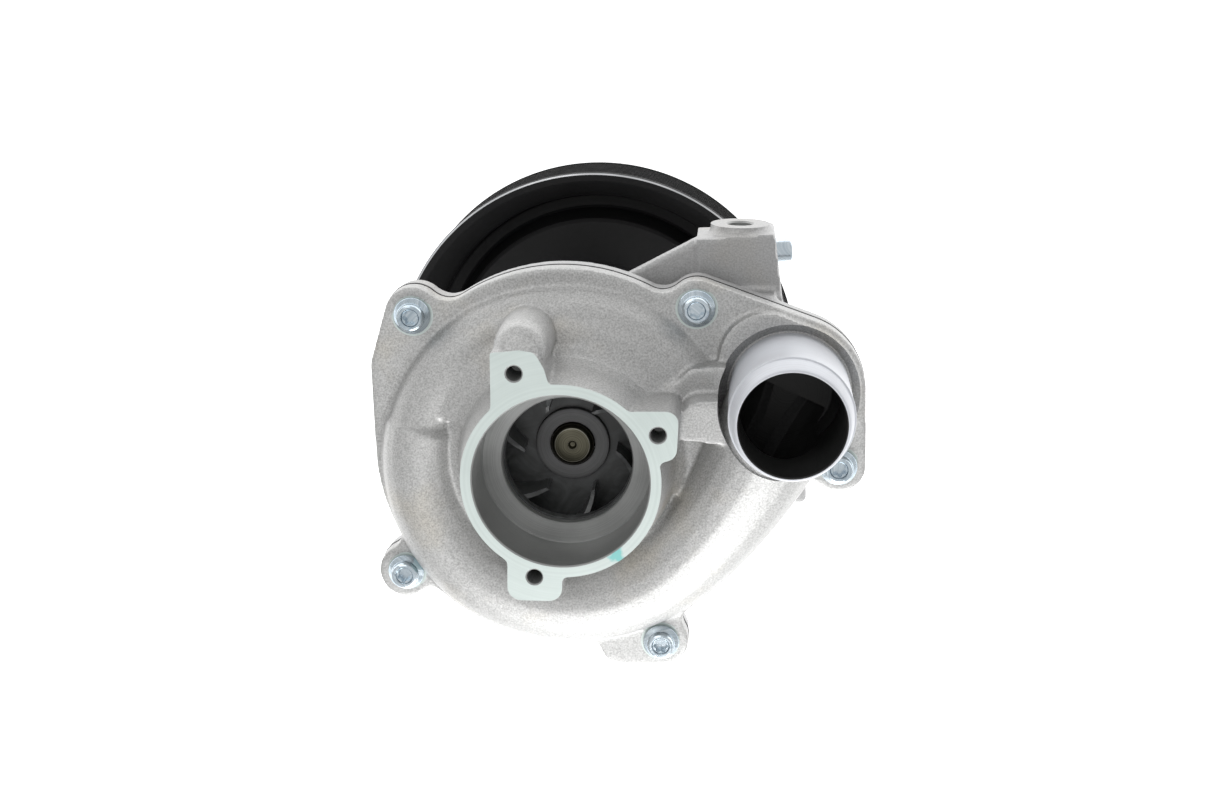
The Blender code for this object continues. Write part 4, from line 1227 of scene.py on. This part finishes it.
for index, (x, y, _) in enumerate(LUGS):
    bpy.ops.object.select_all(action="DESELECT")
    screw.select_set(True)
    bpy.context.view_layer.objects.active = screw
    bpy.ops.object.duplicate()
    copy = bpy.context.active_object
    copy.name = copy.data.name = f"flanged_screw_{index + 1}"
    lay(copy, (0, 0, 0.7 * index), (x, y, 0))
    smooth_by_angle(copy, 30)
    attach(copy, "pump_body")
    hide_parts(f"cover_screw_{index + 1}")
bpy.data.objects.remove(screw)

pin = lay(
    turn_on_lathe(
        "bracket_pin_turned",
        [(0, 0), (4.2, 0), (4.9, 0.7), (4.9, 11.9), (4.7, 12.4), (4.3, 12.8), (0.9, 12.8), (0, 12.3)],
        64,
    ),
    (0, math.pi / 2, PIN_TILT),
    PIN_START,
)
pin.data.materials.append(plating)
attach(pin, "pump_body")
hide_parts("bracket_pin")


# ---------------------------------------------------------------- bearing, seal and fasteners inside
# These stay as packed.  Each gets its own finish: ground races and balls, moulded cages, rubber and
# carbon of the seal, a ceramic ring, and plating on the bolts.


def speckled(name, dark, light, roughness, metallic, scale):
    material, tree, shader, place = new_material(name, light, roughness, metallic)
    speck = tree.nodes.new("ShaderNodeTexNoise")
    speck.inputs["Scale"].default_value = scale
    speck.inputs["Detail"].default_value = 4
    tree.links.new(place, speck.inputs["Vector"])
    tones = tree.nodes.new("ShaderNodeValToRGB")
    tones.color_ramp.elements[0].position = 0.35
    tones.color_ramp.elements[0].color = (*dark, 1)
    tones.color_ramp.elements[1].position = 0.65
    tones.color_ramp.elements[1].color = (*light, 1)
    tree.links.new(speck.outputs["Fac"], tones.inputs["Fac"])
    tree.links.new(tones.outputs["Color"], shader.inputs["Base Color"])
    fine = tree.nodes.new("ShaderNodeBump")
    fine.inputs["Strength"].default_value = 0.2
    fine.inputs["Distance"].default_value = 0.03 * MM
    tree.links.new(speck.outputs["Fac"], fine.inputs["Height"])
    tree.links.new(fine.outputs["Normal"], shader.inputs["Normal"])
    return material


cage_finish = speckled("cage_moulding", (0.20, 0.14, 0.06), (0.32, 0.24, 0.11), 0.5, 0.0, 700)
rubber_finish = speckled("seal_rubber_skin", (0.015, 0.015, 0.015), (0.045, 0.045, 0.046), 0.65, 0.0, 1200)
carbon_finish = speckled("lapped_carbon", (0.03, 0.03, 0.032), (0.07, 0.07, 0.075), 0.3, 0.0, 2000)
ceramic_finish = speckled("lapped_ceramic", (0.66, 0.63, 0.57), (0.78, 0.75, 0.70), 0.22, 0.0, 1500)
finishes = {
    "bearing_ball": bearing_steel,
    "bearing_roller": bearing_steel,
    "bearing_sleeve": bearing_steel,
    "bearing_seal": rubber_finish,
    "ball_cage": cage_finish,
    "roller_cage": cage_finish,
    "seal_cup": bearing_steel,
    "seal_spring": bearing_steel,
    "seal_bellows": rubber_finish,
    "seal_face": carbon_finish,
    "seal_mating": ceramic_finish,
    "slinger": bearing_steel,
    "weep_plug": rubber_finish,
    "locating_dowel": bearing_steel,
    "pulley_bolt": plating,
}
for name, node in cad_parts.items():
    for start, finish in finishes.items():
        if name.startswith(start):
            node.data.materials.clear()
            node.data.materials.append(finish)
